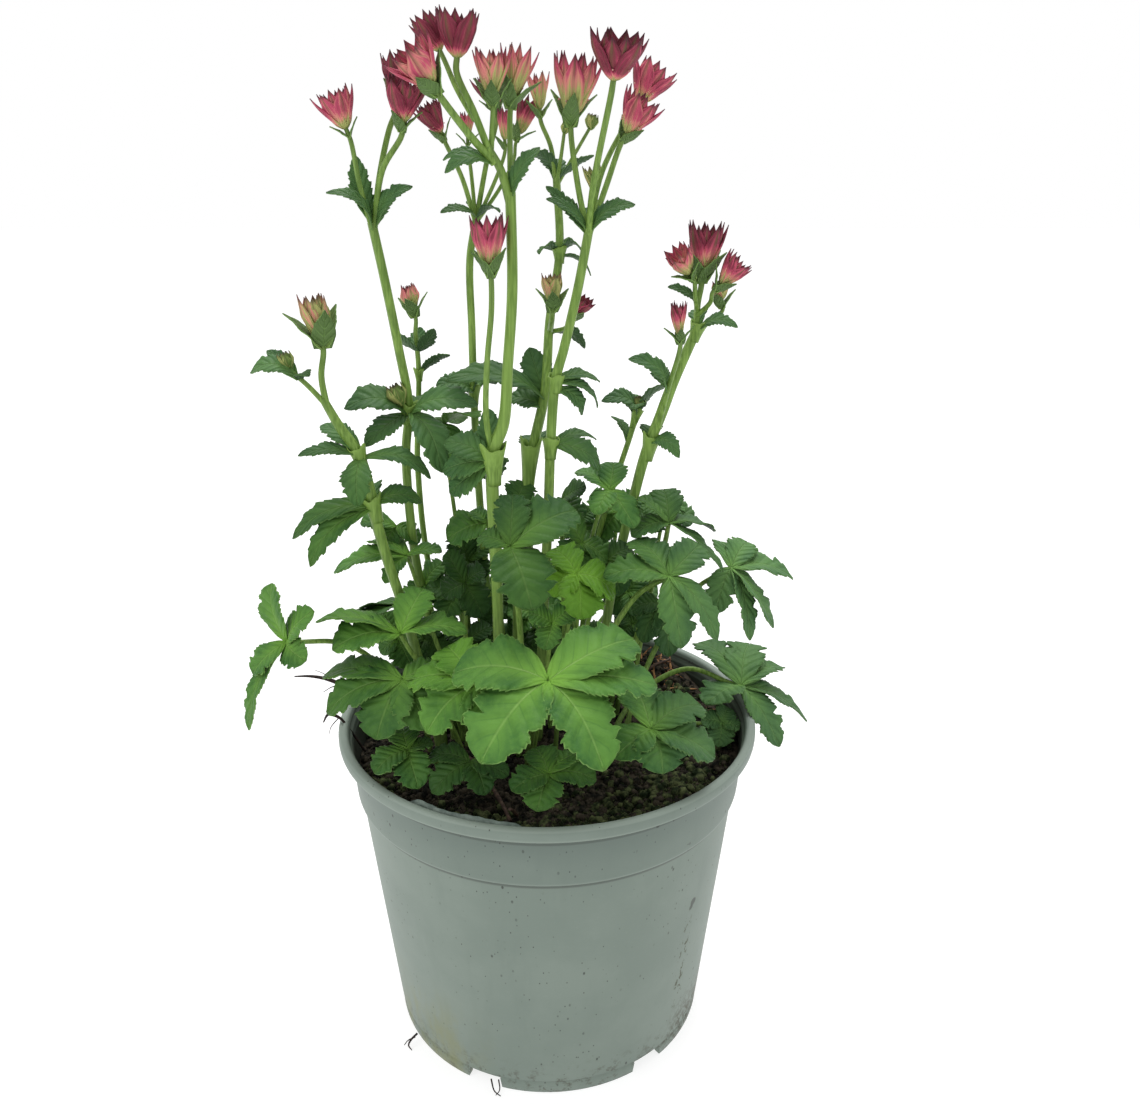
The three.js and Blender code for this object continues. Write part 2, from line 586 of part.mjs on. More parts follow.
stem('stem_f', {
  foot: [20, 12],
  main: [
    [27, 13, 185], [35, 15, 222], [40, 16, 242], [45, 17, 255], [50, 18, 269], [56, 19, 283],
    [59, 19, 290],
  ],
  r: [2.3, 2.3, 2.6, 2],
  arms: [
    { path: [[58, 18.7, 287], [58, 18, 298]], to: 'f25', thick: 1.5 },
    { path: [[58, 18, 295], [56, 12, 302]], to: 'f26' },
    { path: [[58, 18, 294], [62, 14, 299]], to: 'f27' },
    { path: [[58.5, 18.8, 287], [64, 22, 292]], to: 'f28' },
    { path: [[44, 16, 250], [47, 10, 268]], to: 'f29', thick: 1.2 },
  ],
  leaves: [
    { from: [59, 19, 288], to: [73, 14, 290], w: 3.2, lift: 5 },
    { from: [58, 18, 298], to: [46, 14, 305], w: 2.2, lift: 2 },
    { from: [59, 19, 289], to: [62, 34, 294], w: 3, lift: 3 },
    { from: [46.5, 11, 266], to: [31, 4, 280], w: 3.8, lift: 5 },
    { from: [47, 10, 268], to: [42, 22, 276], w: 2.8, lift: 1 },
    { from: [41, 16, 245], to: [52, 8, 241], w: 3.2, lift: 5 },
    { from: [41, 17, 245], to: [46, 32, 246], w: 3.4, lift: 4 },
  ],
  green: [['f25', 3, 10, 3.4, 30], ['f28', 2, 6, 1.8, 0], ['f29', 3, 7, 2.2, 0]],
});

stem('stem_g', {
  foot: [12, 26],
  main: [[18, 25, 185], [24, 24, 213], [30, 26, 232], [34, 26, 245], [37, 26, 256]],
  r: [1.4, 1.3],
  leaves: [
    { from: [36.5, 26, 254], to: [22, 20, 261], w: 4, lift: 6, rings: 3 },
    { from: [36.5, 26, 255], to: [50, 25, 267], w: 4, lift: 2 },
    { from: [36, 26, 254], to: [34, 14, 259], w: 3.2, lift: 3 },
    { from: [36, 26, 254], to: [34, 40, 260], w: 3.2, lift: 3 },
    { from: [33, 26, 243], to: [27, 34, 252], w: 2.8, lift: 2 },
  ],
  buds: [{ at: [37, 26, 255.5], dir: [0.1, 0, 1], size: 6.5 }],
});

stem('stem_h', {
  foot: [-44, -8],
  main: [
    [-56, -8, 187], [-60, -8, 203], [-64, -8, 222], [-66, -8, 236], [-69, -8, 248], [-75, -8, 258],
    [-80, -8, 268],
  ],
  r: [2.3, 2.3, 2.6, 1.7],
  arms: [
    { path: [[-79, -8, 265.5], [-80, -8, 276]], to: 'f22', thick: 1.4 },
    { path: [[-79, -8, 265.5], [-85, -9, 273], [-91, -10, 279]], thick: 1.2 },
  ],
  leaves: [
    { from: [-88, -10, 275.5], to: [-104, -12, 278], w: 4, lift: 6 },
    { from: [-88, -10, 276], to: [-99, -6, 285], w: 2.6, lift: 1 },
    { from: [-87, -9, 275], to: [-82, -18, 278], w: 2.4, lift: 2 },
    { from: [-65, -8, 228], to: [-95, -12, 216], w: 4.4, lift: 6, rings: 3 },
    { from: [-65, -9, 227], to: [-88, -18, 207], w: 4.2, lift: 6, rings: 3 },
    { from: [-65, -7, 228], to: [-47, -3, 227], w: 3.8, lift: 5, rings: 3 },
    { from: [-65, -8, 227], to: [-70, 14, 226], w: 4.4, lift: 5 },
    { from: [-68, -8, 247], to: [-90, -12, 248], w: 3.2, lift: 3, rings: 3 },
    { from: [-68, -8, 248], to: [-84, 2, 256], w: 3.8, lift: 3, rings: 3 },
    { from: [-68, -9, 246], to: [-68, -21, 231], w: 4.6, lift: 4, rings: 3 },
    { from: [-67, -8, 246], to: [-43, -5, 237], w: 3.6, lift: 6, rings: 3 },
  ],
  green: [['f22', 3, 15, 5.2, 60]],
  buds: [{ at: [-90.5, -10, 278.5], dir: [-0.3, 0, 1], size: 7 }],
});

stem('stem_i', {
  foot: [-34, 28],
  main: [[-49, 26, 188], [-52, 28, 234], [-51, 29, 252], [-50, 31, 272], [-50.5, 32, 284]],
  r: [1.5, 1.4, 1.1],
  arms: [{ path: [[-50.4, 31.8, 281], [-50.6, 32, 286]], to: 'f21', thick: 1.1 }],
  leaves: [
    { from: [-50, 31, 270], to: [-37, 28, 278], w: 2, lift: 2 },
    { from: [-50, 31.5, 279], to: [-58, 29, 287], w: 3, lift: -0.8 },
    { from: [-50, 31.5, 279], to: [-43, 29, 288], w: 3, lift: -0.8 },
    { from: [-50, 32, 279], to: [-50, 42, 287], w: 3, lift: -0.8 },
  ],
  green: [['f21', 3, 9, 3.2, 20]],
});

// A basal leaf: its stalk from the soil to the hub, and the palmate blade.
function leaf({ foot, via, hub, lobes, normal, r = 1.2, plain }) {
  const end = vec(hub).addScaledVector(vec(normal ?? [0, 0, 1]).normalize(), -0.5).toArray();
  return palmate(hub, lobes, normal, plain).add(rooted(foot, [...via, end], [r, r * 0.85], 4));
}

// Each lobe holds the way from the hub to its tip and its half width.
const leaves = {
  leaf_01: [{
    foot: [-8, -22], via: [[-5, -38, 152], [-1, -56, 174]],
    hub: [0, -62, 181], normal: [0, -0.26, 0.97], r: 1.5,
    lobes: [
      [31, 18, 7, 9], [38, 3, -4, 8.5], [18, -28, -18, 8.5], [-22, -24, -17, 10.5], [-33, 9, -1, 9.5],
    ],
  }],
  leaf_02: [{
    foot: [-24, -24], via: [[-24, -36, 152], [-24, -47, 168]],
    hub: [-24, -50, 174], normal: [-0.13, -0.22, 0.97],
    lobes: [[-13, 19, 6, 6.5], [-26, 9, -3, 7.5], [-18, -13, -12, 7.5], [6, -20, -16, 6]],
  }],
  leaf_03: [{
    foot: [-33, -20], via: [[-40, -28, 150], [-50, -35, 164]],
    hub: [-53, -38, 170], normal: [-0.17, -0.3, 0.94], r: 1.3,
    lobes: [
      [-32, 14, -5, 5.5], [-28, -4, -11, 6.5], [-8, -17, -15, 8.5], [12, -17, -11, 6.5], [15, 6, 1, 6],
    ],
  }],
  leaf_04: [{
    foot: [-34, 1], via: [[-44, -14, 155], [-52, -22, 174]], hub: [-55, -24, 182], r: 1.3,
    lobes: [[-32, 3, 4, 6], [-24, -9, -2, 7.5], [8, 13, 13, 6], [25, 0, 0, 7]],
  }, {
    foot: [-34, 1], via: [[-33, 0, 160]], hub: [-32, -1, 193], normal: [0, -0.4, 0.9], plain: true,
    lobes: [[-7, 1, 13, 4.5], [-9, -3, -4, 5], [7, -3, -13, 5.5], [8, 1, 5, 5]],
  }],
  leaf_05: [{
    foot: [-50, 0], via: [[-58, -8, 150], [-76, -20, 176]],
    hub: [-96, -30, 182], normal: [-0.55, -0.6, 0.55],
    lobes: [
      [-5, 6, 21, 5.5], [12, -4, 14, 4.5], [-12, -6, -10, 5], [-14, -12, -30, 5.5], [9, -10, -3, 4.5],
    ],
  }],
  leaf_06: [{
    foot: [28, 3], via: [[40, 14, 136], [60, 16, 146], [76, 7, 144]], hub: [81, 5, 143], r: 1.4,
    lobes: [
      [-15, 24, 9, 7], [8, 25, 8, 6.5], [20, 14, 2, 5], [30, 2, -18, 5.2], [14, -17, -19, 5.5],
      [-16, -10, -3, 8],
    ],
  }],
  leaf_07: [{
    foot: [18, -22], via: [[27, -36, 142], [35, -48, 152]],
    hub: [37, -52, 156], normal: [0.03, -0.17, 0.98],
    lobes: [[3, -15, -9, 7.5], [23, -5, -9, 8], [20, 12, 3, 6.5], [-14, -11, -5, 6.5], [-4, 22, 6, 7]],
  }],
  leaf_08: [{
    foot: [2, -35], via: [[1, -48, 134], [0, -57, 139]],
    hub: [0, -60, 143], normal: [0, -0.09, 1], r: 1, plain: true,
    lobes: [[-4, -14, -6, 5.5], [17, -3, -1, 5.2], [-13, -7, -2, 5.2], [-5, 13, 3, 4.5], [10, 10, 2, 4.5]],
  }],
  leaf_09: [
    {
      foot: [-22, -38], via: [[-26, -48, 136], [-28, -54, 142]],
      hub: [-28, -56, 146], normal: [0, -0.1, 1], r: 1, plain: true,
      lobes: [[-16, 5, -1, 4.3], [-13, -9, -7, 4.8], [6, -12, -6, 4.3], [14, -6, -2, 3.9]],
    },
    {
      foot: [-22, -38], via: [[-36, -42, 136], [-48, -48, 143]],
      hub: [-51, -49, 147], normal: [-0.1, -0.1, 1], r: 1, plain: true,
      lobes: [[-11, -9, -4, 5], [5, -13, -8, 5], [9, 3, 1, 3.6], [-3, 12, 3, 4.5]],
    },
  ],
  leaf_10: [{
    foot: [8, -8], via: [[14, -11, 150], [34, -14, 192]],
    hub: [46, -18, 202], normal: [0.21, -0.37, 0.91], r: 1.3,
    lobes: [[-25, -3, 1, 6], [-13, 15, 9, 6], [13, 10, 9, 5.5], [18, -10, -22, 4], [4, -13, -24, 5.5]],
  }],
  leaf_11: [{
    foot: [30, 20], via: [[40, 16, 170], [47, 6, 206]], hub: [48, 3, 216], r: 1.3, plain: true,
    lobes: [[-1, 13, 10, 5], [19, 5, -5, 6], [21, -9, -17, 3.8], [-15, -4, -4, 5], [-12, 5, 9, 5]],
  }],
  leaf_12: [{
    foot: [30, -10], via: [[42, -2, 160], [60, 0, 190]], hub: [73, 0, 198], normal: [0.17, 0, 0.98], r: 1.3,
    lobes: [
      [-2, 15, 6, 5], [9, 14, 6, 4.6], [26, 4, -6, 6], [16, -11, -21, 5], [6, -16, -24, 4],
      [-7, -10, -15, 4.6],
    ],
  }],
  leaf_13: [{
    foot: [-12, -9], via: [[-10, -18, 170], [-12, -30, 212]],
    hub: [-13, -34, 220], normal: [0.12, -0.32, 0.94], r: 1.3,
    lobes: [[24, 10, 10, 8], [8, -20, -16, 8.5], [1, 14, 15, 5], [-11, 6, 2, 4.5]],
  }],
  leaf_14: [{
    foot: [3, -13], via: [[6, -15, 165], [10, -19, 196]],
    hub: [11, -20, 204], normal: [0.25, -0.43, 0.87], plain: true,
    lobes: [[-9, 8, 7, 6], [15, 1, -9, 7.5], [1, -13, -13, 7], [-11, -7, -5, 6]],
  }],
  leaf_15: [{
    foot: [9, 12], via: [[12, 12, 170], [20, 9, 215]],
    hub: [25, 8, 228], normal: [0.1, -0.15, 0.98], r: 1.1, plain: true,
    lobes: [[-13, 7, 6, 5], [2, 9, 9, 4.5], [9, -11, -12, 5], [-6, -12, -6, 4]],
  }, {
    foot: [9, 12], via: [[12, 8, 165]], hub: [14, 3, 208], normal: [0.1, -0.4, 0.9], r: 1.1, plain: true,
    lobes: [[-8, 3, 12, 5], [10, -1, -8, 5.5], [-3, -7, -12, 5.5], [-9, -6, -5, 4.5]],
  }],
  leaf_16: [{
    foot: [-30, 6], via: [[-44, 0, 165], [-53, 2, 198]],
    hub: [-55, 4, 203], normal: [-0.09, 0, 1], r: 1, plain: true,
    lobes: [[-30, 3, -8, 5.2], [-8, -9, -8, 3.4], [14, -1, 2, 4], [-16, 12, 2, 4.5]],
  }, {
    foot: [-30, 6], via: [[-33, 7, 160]], hub: [-36, 8, 186], normal: [0, -0.4, 0.9], r: 1.15, plain: true,
    lobes: [[-13, 0, 1, 5], [-6, -8, -13, 4.8], [11, 4, 4, 5]],
  }],
  leaf_17: [{
    foot: [-30, 19], via: [[-36, 23, 200], [-40, 23, 244]], hub: [-40, 22, 252], r: 1.1, plain: true,
    lobes: [[0, -15, -16, 6], [14, -12, 5, 5], [4, 18, -4, 5]],
  }],
  leaf_18: [{
    foot: [-14, 34], via: [[-16, 46, 150], [-19, 57, 170]],
    hub: [-20, 60, 175], normal: [-0.1, 0.3, 0.95], r: 1.3, plain: true,
    lobes: [[-28, 2, -6, 6.2], [-22, 22, -12, 6.9], [2, 29, -16, 7.3], [24, 18, -10, 7.1], [26, -4, -3, 6.4]],
  }],
  leaf_19: [{
    foot: [10, 40], via: [[16, 48, 140], [24, 56, 150]],
    hub: [28, 60, 154], normal: [0.2, 0.3, 0.93], r: 1.2, plain: true,
    lobes: [[-16, 12, -2, 5.4], [0, 28, -10, 6.8], [22, 16, -8, 6.3], [22, -6, -3, 5.8]],
  }],
  leaf_20: [{
    foot: [-46, 24], via: [[-53, 33, 145], [-58, 39, 160]],
    hub: [-60, 41, 166], normal: [-0.3, 0.2, 0.93], r: 1.3, plain: true,
    lobes: [[-24, -12, -6, 7], [-28, 8, -10, 7.5], [-14, 26, -12, 7.5], [10, 24, -6, 7]],
  }],
};
Object.entries(leaves).forEach(([name, parts]) => {
  const bodies = parts.map(leaf);
  add(name, bodies.reduce((sum, body) => sum.add(body)), paint.leaf);
});

add('pot', pot(), paint.pot);
add('soil', soil(), paint.soil);

export default plant;
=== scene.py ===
# Great masterwort in a round nursery pot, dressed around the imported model.
# Layout numbers are millimetres, as in the part's source. Meshes are in metres.
import math

import bpy
import numpy as np
from mathutils import Matrix, Vector, noise


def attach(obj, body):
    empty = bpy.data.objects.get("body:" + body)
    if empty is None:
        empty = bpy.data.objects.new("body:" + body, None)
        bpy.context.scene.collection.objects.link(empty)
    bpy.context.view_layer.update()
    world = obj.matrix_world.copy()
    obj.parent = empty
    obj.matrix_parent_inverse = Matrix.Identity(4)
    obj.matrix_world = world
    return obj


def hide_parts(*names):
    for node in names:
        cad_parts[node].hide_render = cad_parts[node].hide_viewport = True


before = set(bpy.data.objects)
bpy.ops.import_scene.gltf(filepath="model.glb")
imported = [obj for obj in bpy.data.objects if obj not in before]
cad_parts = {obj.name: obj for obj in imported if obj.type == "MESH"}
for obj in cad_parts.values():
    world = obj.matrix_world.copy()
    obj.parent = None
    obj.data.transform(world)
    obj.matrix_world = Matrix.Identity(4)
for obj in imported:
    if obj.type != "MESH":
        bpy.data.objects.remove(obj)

scene = bpy.context.scene
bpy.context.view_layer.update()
mm = 0.001
random = np.random.default_rng(11)
print("frame loaded:", len(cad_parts), "nodes")


def newObject(name, data):
    made = bpy.data.objects.new(name, data)
    scene.collection.objects.link(made)
    return made


# Camera, solved from the rim, collar and foot of the pot in the photograph
cameraLook = {"place": (0, -368, 339), "down": 20.0, "turn": 1.44, "lens": 31.58, "sensor": 36.0, "nearest": 0.01}


def placeCamera(look):
    data = bpy.data.cameras.new("camera")
    data.lens = look["lens"]
    data.sensor_width = look["sensor"]
    data.clip_start = look["nearest"]
    camera = newObject("camera", data)
    camera.location = Vector(look["place"]) * mm
    camera.rotation_euler = (math.radians(90 - look["down"]), 0, math.radians(-look["turn"]))
    scene.camera = camera


placeCamera(cameraLook)

# Floor, world and soft lights, in metres
studio = {
    "world": 0.68, "backdrop": 1.0, "floor": (0.35, 0.35, 0.35), "floorGlow": 0.77, "floorReach": 9,
    "floorRoughness": 0.9, "aim": (0, 0, 0.2),
    "lights": [
        {"at": (-1.6, -1.0, 1.5), "size": 1.3, "power": 14.0},
        {"at": (1.7, -0.7, 1.2), "size": 1.2, "power": 4.0},
        {"at": (0.1, 0.9, 2.2), "size": 1.6, "power": 44.0},
    ],
}


def buildStudio(settings):
    scene.view_settings.view_transform = "Standard"
    world = bpy.data.worlds.new("studio")
    scene.world = world
    world.use_nodes = True
    tree = world.node_tree
    sky = tree.nodes["Background"]
    sky.inputs["Color"].default_value = (1, 1, 1, 1)
    # the camera sees a white backdrop, and the plant is lit more softly
    glow = tree.nodes.new("ShaderNodeMapRange")
    glow.inputs["To Min"].default_value = settings["world"]
    glow.inputs["To Max"].default_value = settings["backdrop"]
    tree.links.new(tree.nodes.new("ShaderNodeLightPath").outputs["Is Camera Ray"], glow.inputs["Value"])
    tree.links.new(glow.outputs[0], sky.inputs["Strength"])
    mesh = bpy.data.meshes.new("floor")
    reach = settings["floorReach"]
    mesh.from_pydata([(x * reach, y * reach, 0) for x, y in ((-1, -1), (1, -1), (1, 1), (-1, 1))], [], [(0, 1, 2, 3)])
    floor = newObject("floor", mesh)
    paper = bpy.data.materials.new("paperFloor")
    paper.use_nodes = True
    shader = paper.node_tree.nodes["Principled BSDF"]
    shader.inputs["Base Color"].default_value = (*settings["floor"], 1)
    shader.inputs["Roughness"].default_value = settings["floorRoughness"]
    shader.inputs["Emission Color"].default_value = (1, 1, 1, 1)
    shader.inputs["Emission Strength"].default_value = settings["floorGlow"]
    mesh.materials.append(paper)
    for number, light in enumerate(settings["lights"]):
        data = bpy.data.lights.new("softbox" + str(number), "AREA")
        data.size = light["size"]
        data.energy = light["power"]
        lamp = newObject("softbox" + str(number), data)
        lamp.location = light["at"]
        lamp.rotation_euler = (Vector(settings["aim"]) - Vector(light["at"])).to_track_quat("-Z", "Y").to_euler()


buildStudio(studio)
print("camera and studio ready")


# Node helpers, for shaders and for geometry
def put(tree, kind, values=None, **settings):
    node = tree.nodes.new(kind)
    for key, value in settings.items():
        setattr(node, key, value)
    for key, value in (values or {}).items():
        if isinstance(value, bpy.types.NodeSocket):
            tree.links.new(value, node.inputs[key])
        else:
            node.inputs[key].default_value = value
    return node


def calc(tree, operation, a, b=0.0, c=0.0):
    return put(tree, "ShaderNodeMath", {0: a, 1: b, 2: c}, operation=operation).outputs[0]


def times(tree, product, *factors):
    for factor in factors:
        product = calc(tree, "MULTIPLY", product, factor)
    return product


def plus(tree, total, *terms):
    for term in terms:
        total = calc(tree, "ADD", total, term)
    return total


def minus(tree, a, b):
    return calc(tree, "SUBTRACT", a, b)


def offBy(tree, value, level):
    return calc(tree, "ABSOLUTE", minus(tree, value, level))


def band(tree, value, low, high, start=0.0, stop=1.0):
    values = {"Value": value, "From Min": low, "From Max": high, "To Min": start, "To Max": stop}
    return put(tree, "ShaderNodeMapRange", values, interpolation_type="SMOOTHSTEP").outputs[0]


def split(tree, vector):
    return put(tree, "ShaderNodeSeparateXYZ", {0: vector}).outputs[:3]


def combined(tree, x=0.0, y=0.0, z=0.0):
    return put(tree, "ShaderNodeCombineXYZ", {0: x, 1: y, 2: z}).outputs[0]


def mixed(tree, share, a, b):
    a, b = ((*colour, 1) if isinstance(colour, tuple) else colour for colour in (a, b))
    return put(tree, "ShaderNodeMix", {0: share, 6: a, 7: b}, data_type="RGBA").outputs[2]


def grain(tree, where, scale, detail=3.0, rough=0.55):
    values = {"Vector": where, "Scale": scale, "Detail": detail, "Roughness": rough}
    return put(tree, "ShaderNodeTexNoise", values).outputs["Fac"]


def stretched(tree, where, scale):
    return put(tree, "ShaderNodeMapping", {"Vector": where, "Scale": scale}).outputs[0]


def startMaterial(name, roughness=0.5, specular=0.5):
    material = bpy.data.materials.new(name)
    material.use_nodes = True
    tree = material.node_tree
    shader = tree.nodes["Principled BSDF"]
    shader.inputs["Roughness"].default_value = roughness
    shader.inputs["Specular IOR Level"].default_value = specular
    return material, tree, shader, put(tree, "ShaderNodeTexCoord").outputs["Object"]


def endMaterial(tree, shader, colour, height, strength, depth):
    tree.links.new(colour, shader.inputs["Base Color"])
    bump = put(tree, "ShaderNodeBump", {"Height": height, "Strength": strength, "Distance": depth})
    tree.links.new(bump.outputs[0], shader.inputs["Normal"])


def reading(tree, name):
    return put(tree, "ShaderNodeAttribute", attribute_name=name).outputs["Fac"]


def lobePlace(tree):
    # u from the hub to the tip, v from edge to edge, and the distance from the rib
    along, across, _ = split(tree, put(tree, "ShaderNodeUVMap", uv_map="lobe").outputs[0])
    return along, across, calc(tree, "ABSOLUTE", calc(tree, "MULTIPLY_ADD", across, 2.0, -1.0))


# Leaf blades, whose veins follow each lobe's own map
leafLook = {
    "deep": (0.042, 0.132, 0.029), "fresh": (0.104, 0.246, 0.045), "light": (0.205, 0.420, 0.060),
    "vein": (0.240, 0.420, 0.110), "dark": (0.010, 0.034, 0.008), "yellow": (0.145, 0.330, 0.006),
    # the pale vein colour also paints the highlight along the blade's edge
    "pale": (0.300, 0.420, 0.140), "under": (0.088, 0.180, 0.058), "blue": (0.105, 0.190, 0.110),
    "blueShare": 0.38, "sideVeins": 6.0, "slant": 0.25, "gloss": 0.12, "roughness": 0.5,
}
sepalLook = {
    **leafLook, "deep": (0.075, 0.150, 0.040), "fresh": (0.150, 0.245, 0.060), "light": (0.230, 0.340, 0.090),
    "under": (0.130, 0.215, 0.065), "sideVeins": 5.0, "blueShare": 0.1,
}


def leafMaterial(name, look, under=False):
    material, tree, shader, place = startMaterial(name, look["roughness"], look["gloss"])
    along, _, aside = lobePlace(tree)
    rib = band(tree, aside, 0.0, 0.07, 1.0, 0.0)
    slanted = minus(tree, along, times(tree, aside, look["slant"]))
    gap = offBy(tree, calc(tree, "FRACT", times(tree, slanted, look["sideVeins"])), 0.5)
    sideVein = times(tree, band(tree, gap, 0.0, 0.10, 1.0, 0.0), band(tree, aside, 0.3, 0.95, 1.0, 0.2))
    patches = grain(tree, place, 70, 3)
    mottle = grain(tree, place, 620, 3, 0.6)
    tone = reading(tree, "tone")
    if under:
        colour = mixed(tree, patches, look["under"], tuple(0.8 * c for c in look["under"]))
        colour = mixed(tree, times(tree, calc(tree, "MAXIMUM", rib, sideVein), 0.5), colour, look["vein"])
    else:
        colour = mixed(tree, band(tree, patches, 0.32, 0.68), look["deep"], look["fresh"])
        colour = mixed(tree, band(tree, mottle, 0.4, 0.75, 0.0, 0.45), colour, look["fresh"])
        glow = times(tree, band(tree, aside, 0.0, 0.8, 1.0, 0.0), band(tree, along, 0.1, 0.8, 0.65, 0.1))
        glow = calc(tree, "MAXIMUM", glow, band(tree, along, 0.0, 0.34, 1.0, 0.0))
        colour = mixed(tree, glow, colour, look["light"])
        # side veins darker, painted shade in their sunken grooves
        colour = mixed(tree, times(tree, sideVein, 0.35), colour, look["deep"])
        # a painted highlight along the blade's edge and tip
        edgeHighlight = calc(tree, "MAXIMUM", band(tree, aside, 0.95, 1.0, 0.0, 0.5), band(tree, along, 0.97, 1.0, 0.0, 0.5))
        colour = mixed(tree, edgeHighlight, colour, look["vein"])
        colour = mixed(tree, times(tree, rib, band(tree, along, 0.1, 0.6, 0.95, 0.45)), colour, look["vein"])
    # painted sheen: greyer, bluer blades high up and on the right
    x, _, z = split(tree, place)
    sheenZone = calc(tree, "MAXIMUM", band(tree, x, 0.02, 0.06), band(tree, z, 0.21, 0.26))
    colour = mixed(tree, times(tree, sheenZone, look["blueShare"]), colour, look["blue"])
    # each leaf's tone: below 0 darker, to 1 yellower, to 2 paler
    colour = mixed(tree, band(tree, tone, 0.0, 1.0), colour, look["yellow"])
    colour = mixed(tree, band(tree, tone, 0.0, -1.0, 0.0, 0.8), colour, look["dark"])
    colour = mixed(tree, band(tree, tone, 1.0, 2.0), colour, look["pale"])
    relief = plus(tree, minus(tree, band(tree, gap, 0.0, 0.38), rib), times(tree, mottle, 0.8))
    endMaterial(tree, shader, colour, relief, 0.7, 0.00045)
    return material


leafSkins = [leafMaterial("leafTop", leafLook), leafMaterial("leafUnder", leafLook, under=True)]
sepalSkins = [leafMaterial("sepalTop", sepalLook), leafMaterial("sepalUnder", sepalLook, under=True)]

# Stems: streaked green, their tone from plum and olive at the foot to pale
stemLook = {
    "green": (0.122, 0.220, 0.036), "pale": (0.235, 0.380, 0.078), "olive": (0.080, 0.130, 0.040),
    "plum": (0.15, 0.06, 0.05), "slim": 0.86,
}


def stemMaterial(look):
    material, tree, shader, place = startMaterial("stemSkin", roughness=0.45, specular=0.25)
    streak = grain(tree, stretched(tree, place, (1, 1, 0.06)), 1100, 2)
    blush = grain(tree, place, 45, 2)
    tone = reading(tree, "tone")
    colour = mixed(tree, band(tree, streak, 0.3, 0.7), look["green"], look["pale"])
    colour = mixed(tree, band(tree, blush, 0.55, 0.8, 0.0, 0.35), colour, look["olive"])
    colour = mixed(tree, band(tree, tone, 0.0, 1.0, 0.0, 0.7), colour, look["pale"])
    colour = mixed(tree, band(tree, tone, 0.0, -1.0, 0.0, 0.75), colour, look["olive"])
    colour = mixed(tree, band(tree, tone, -1.0, -2.0, 0.0, 0.8), colour, look["plum"])
    endMaterial(tree, shader, colour, streak, 0.35, 0.0003)
    return material


stemSkin = stemMaterial(stemLook)

# Bracts: pale green at the foot, pink above it, a green rib, veins and a dark tip
bractLook = {
    "green": (0.13, 0.22, 0.050), "foot": (0.42, 0.44, 0.15), "blush": (0.68, 0.24, 0.21), "pink": (0.53, 0.082, 0.150),
    "deep": (0.24, 0.034, 0.066), "wine": (0.15, 0.026, 0.044), "rib": (0.11, 0.115, 0.045),
    "tip": (0.055, 0.026, 0.034),
    # from which tone to which each colour comes in
    "ladder": [("blush", -1.5, -0.6), ("pink", -0.6, 0.1), ("deep", 0.1, 0.9), ("wine", 0.9, 1.6)],
}


def bractMaterial(look):
    material, tree, shader, place = startMaterial("bractSkin", roughness=0.6, specular=0.12)
    along, across, aside = lobePlace(tree)
    patches = grain(tree, stretched(tree, place, (1, 1, 0.45)), 420, 3)
    shade = reading(tree, "shade")
    strip = combined(tree, times(tree, along, 1.3), times(tree, across, 5.0), times(tree, shade, 20.0))
    tone = plus(tree, reading(tree, "tone"), times(tree, shade, 0.3), band(tree, patches, 0.3, 0.7, -0.15, 0.15),
                band(tree, grain(tree, strip, 1.0, 2), 0.34, 0.66, -0.38, 0.5))
    lines = calc(tree, "SINE", times(tree, aside, 24.0))
    colour = mixed(tree, band(tree, tone, -2.3, -1.6), look["green"], look["foot"])
    for name, low, high in look["ladder"]:
        colour = mixed(tree, band(tree, tone, low, high), colour, look[name])
    colour = mixed(tree, band(tree, lines, 0.2, 1.0, 0.0, 0.16), colour, look["rib"])
    rib = times(tree, band(tree, aside, 0.0, 0.42, 1.0, 0.0), band(tree, along, 0.3, 0.85, 0.25, 0.62))
    colour = mixed(tree, rib, colour, look["rib"])
    edge = times(tree, band(tree, aside, 0.8, 1.0), band(tree, along, 0.4, 0.8, 0.0, 0.35))
    colour = mixed(tree, calc(tree, "MAXIMUM", edge, band(tree, along, 0.8, 0.97, 0.0, 0.8)), colour, look["tip"])
    endMaterial(tree, shader, colour, lines, 0.35, 0.0002)
    return material


bractSkin = bractMaterial(bractLook)


def plainMaterial(name, low, high, scale, roughness, depth, specular=0.3):
    material, tree, shader, place = startMaterial(name, roughness, specular)
    cloud = grain(tree, place, scale, 4)
    endMaterial(tree, shader, mixed(tree, band(tree, cloud, 0.38, 0.64), low, high), cloud, 0.6, depth)
    return material


# Two colours, the grain's scale, roughness, bump depth and gloss
floretSkin = plainMaterial("floretSkin", (0.42, 0.10, 0.12), (0.62, 0.45, 0.34), 900, 0.6, 0.0002)
crumbSkin = plainMaterial("crumbSkin", (0.006, 0.006, 0.0045), (0.066, 0.054, 0.038), 300, 0.9, 0.0009, 0.15)
mossSkin = plainMaterial("mossSkin", (0.014, 0.023, 0.009), (0.120, 0.140, 0.060), 300, 0.9, 0.0009, 0.1)
huskSkin = plainMaterial("huskSkin", (0.13, 0.055, 0.022), (0.46, 0.235, 0.10), 300, 0.7, 0.0003)
rootSkin = plainMaterial("rootSkin", (0.009, 0.006, 0.005), (0.036, 0.020, 0.016), 500, 0.8, 0.0002)
sliverSkin = plainMaterial("sliverSkin", (0.10, 0.135, 0.115), (0.19, 0.24, 0.205), 260, 0.5, 0.0001)
strawSkin = plainMaterial("strawSkin", (0.055, 0.030, 0.022), (0.13, 0.078, 0.055), 500, 0.6, 0.0002)
print("plant materials ready")


# Mesh helpers
def unit(v):
    return v / np.maximum(np.linalg.norm(v, axis=-1, keepdims=True), 1e-9)


def newMesh(name, points, edges, faces):
    mesh = bpy.data.meshes.new(name)
    mesh.from_pydata(points, edges, faces)
    return mesh


def pointsOf(mesh):
    places = np.zeros((len(mesh.vertices), 3))
    mesh.vertices.foreach_get("co", places.ravel())
    return places


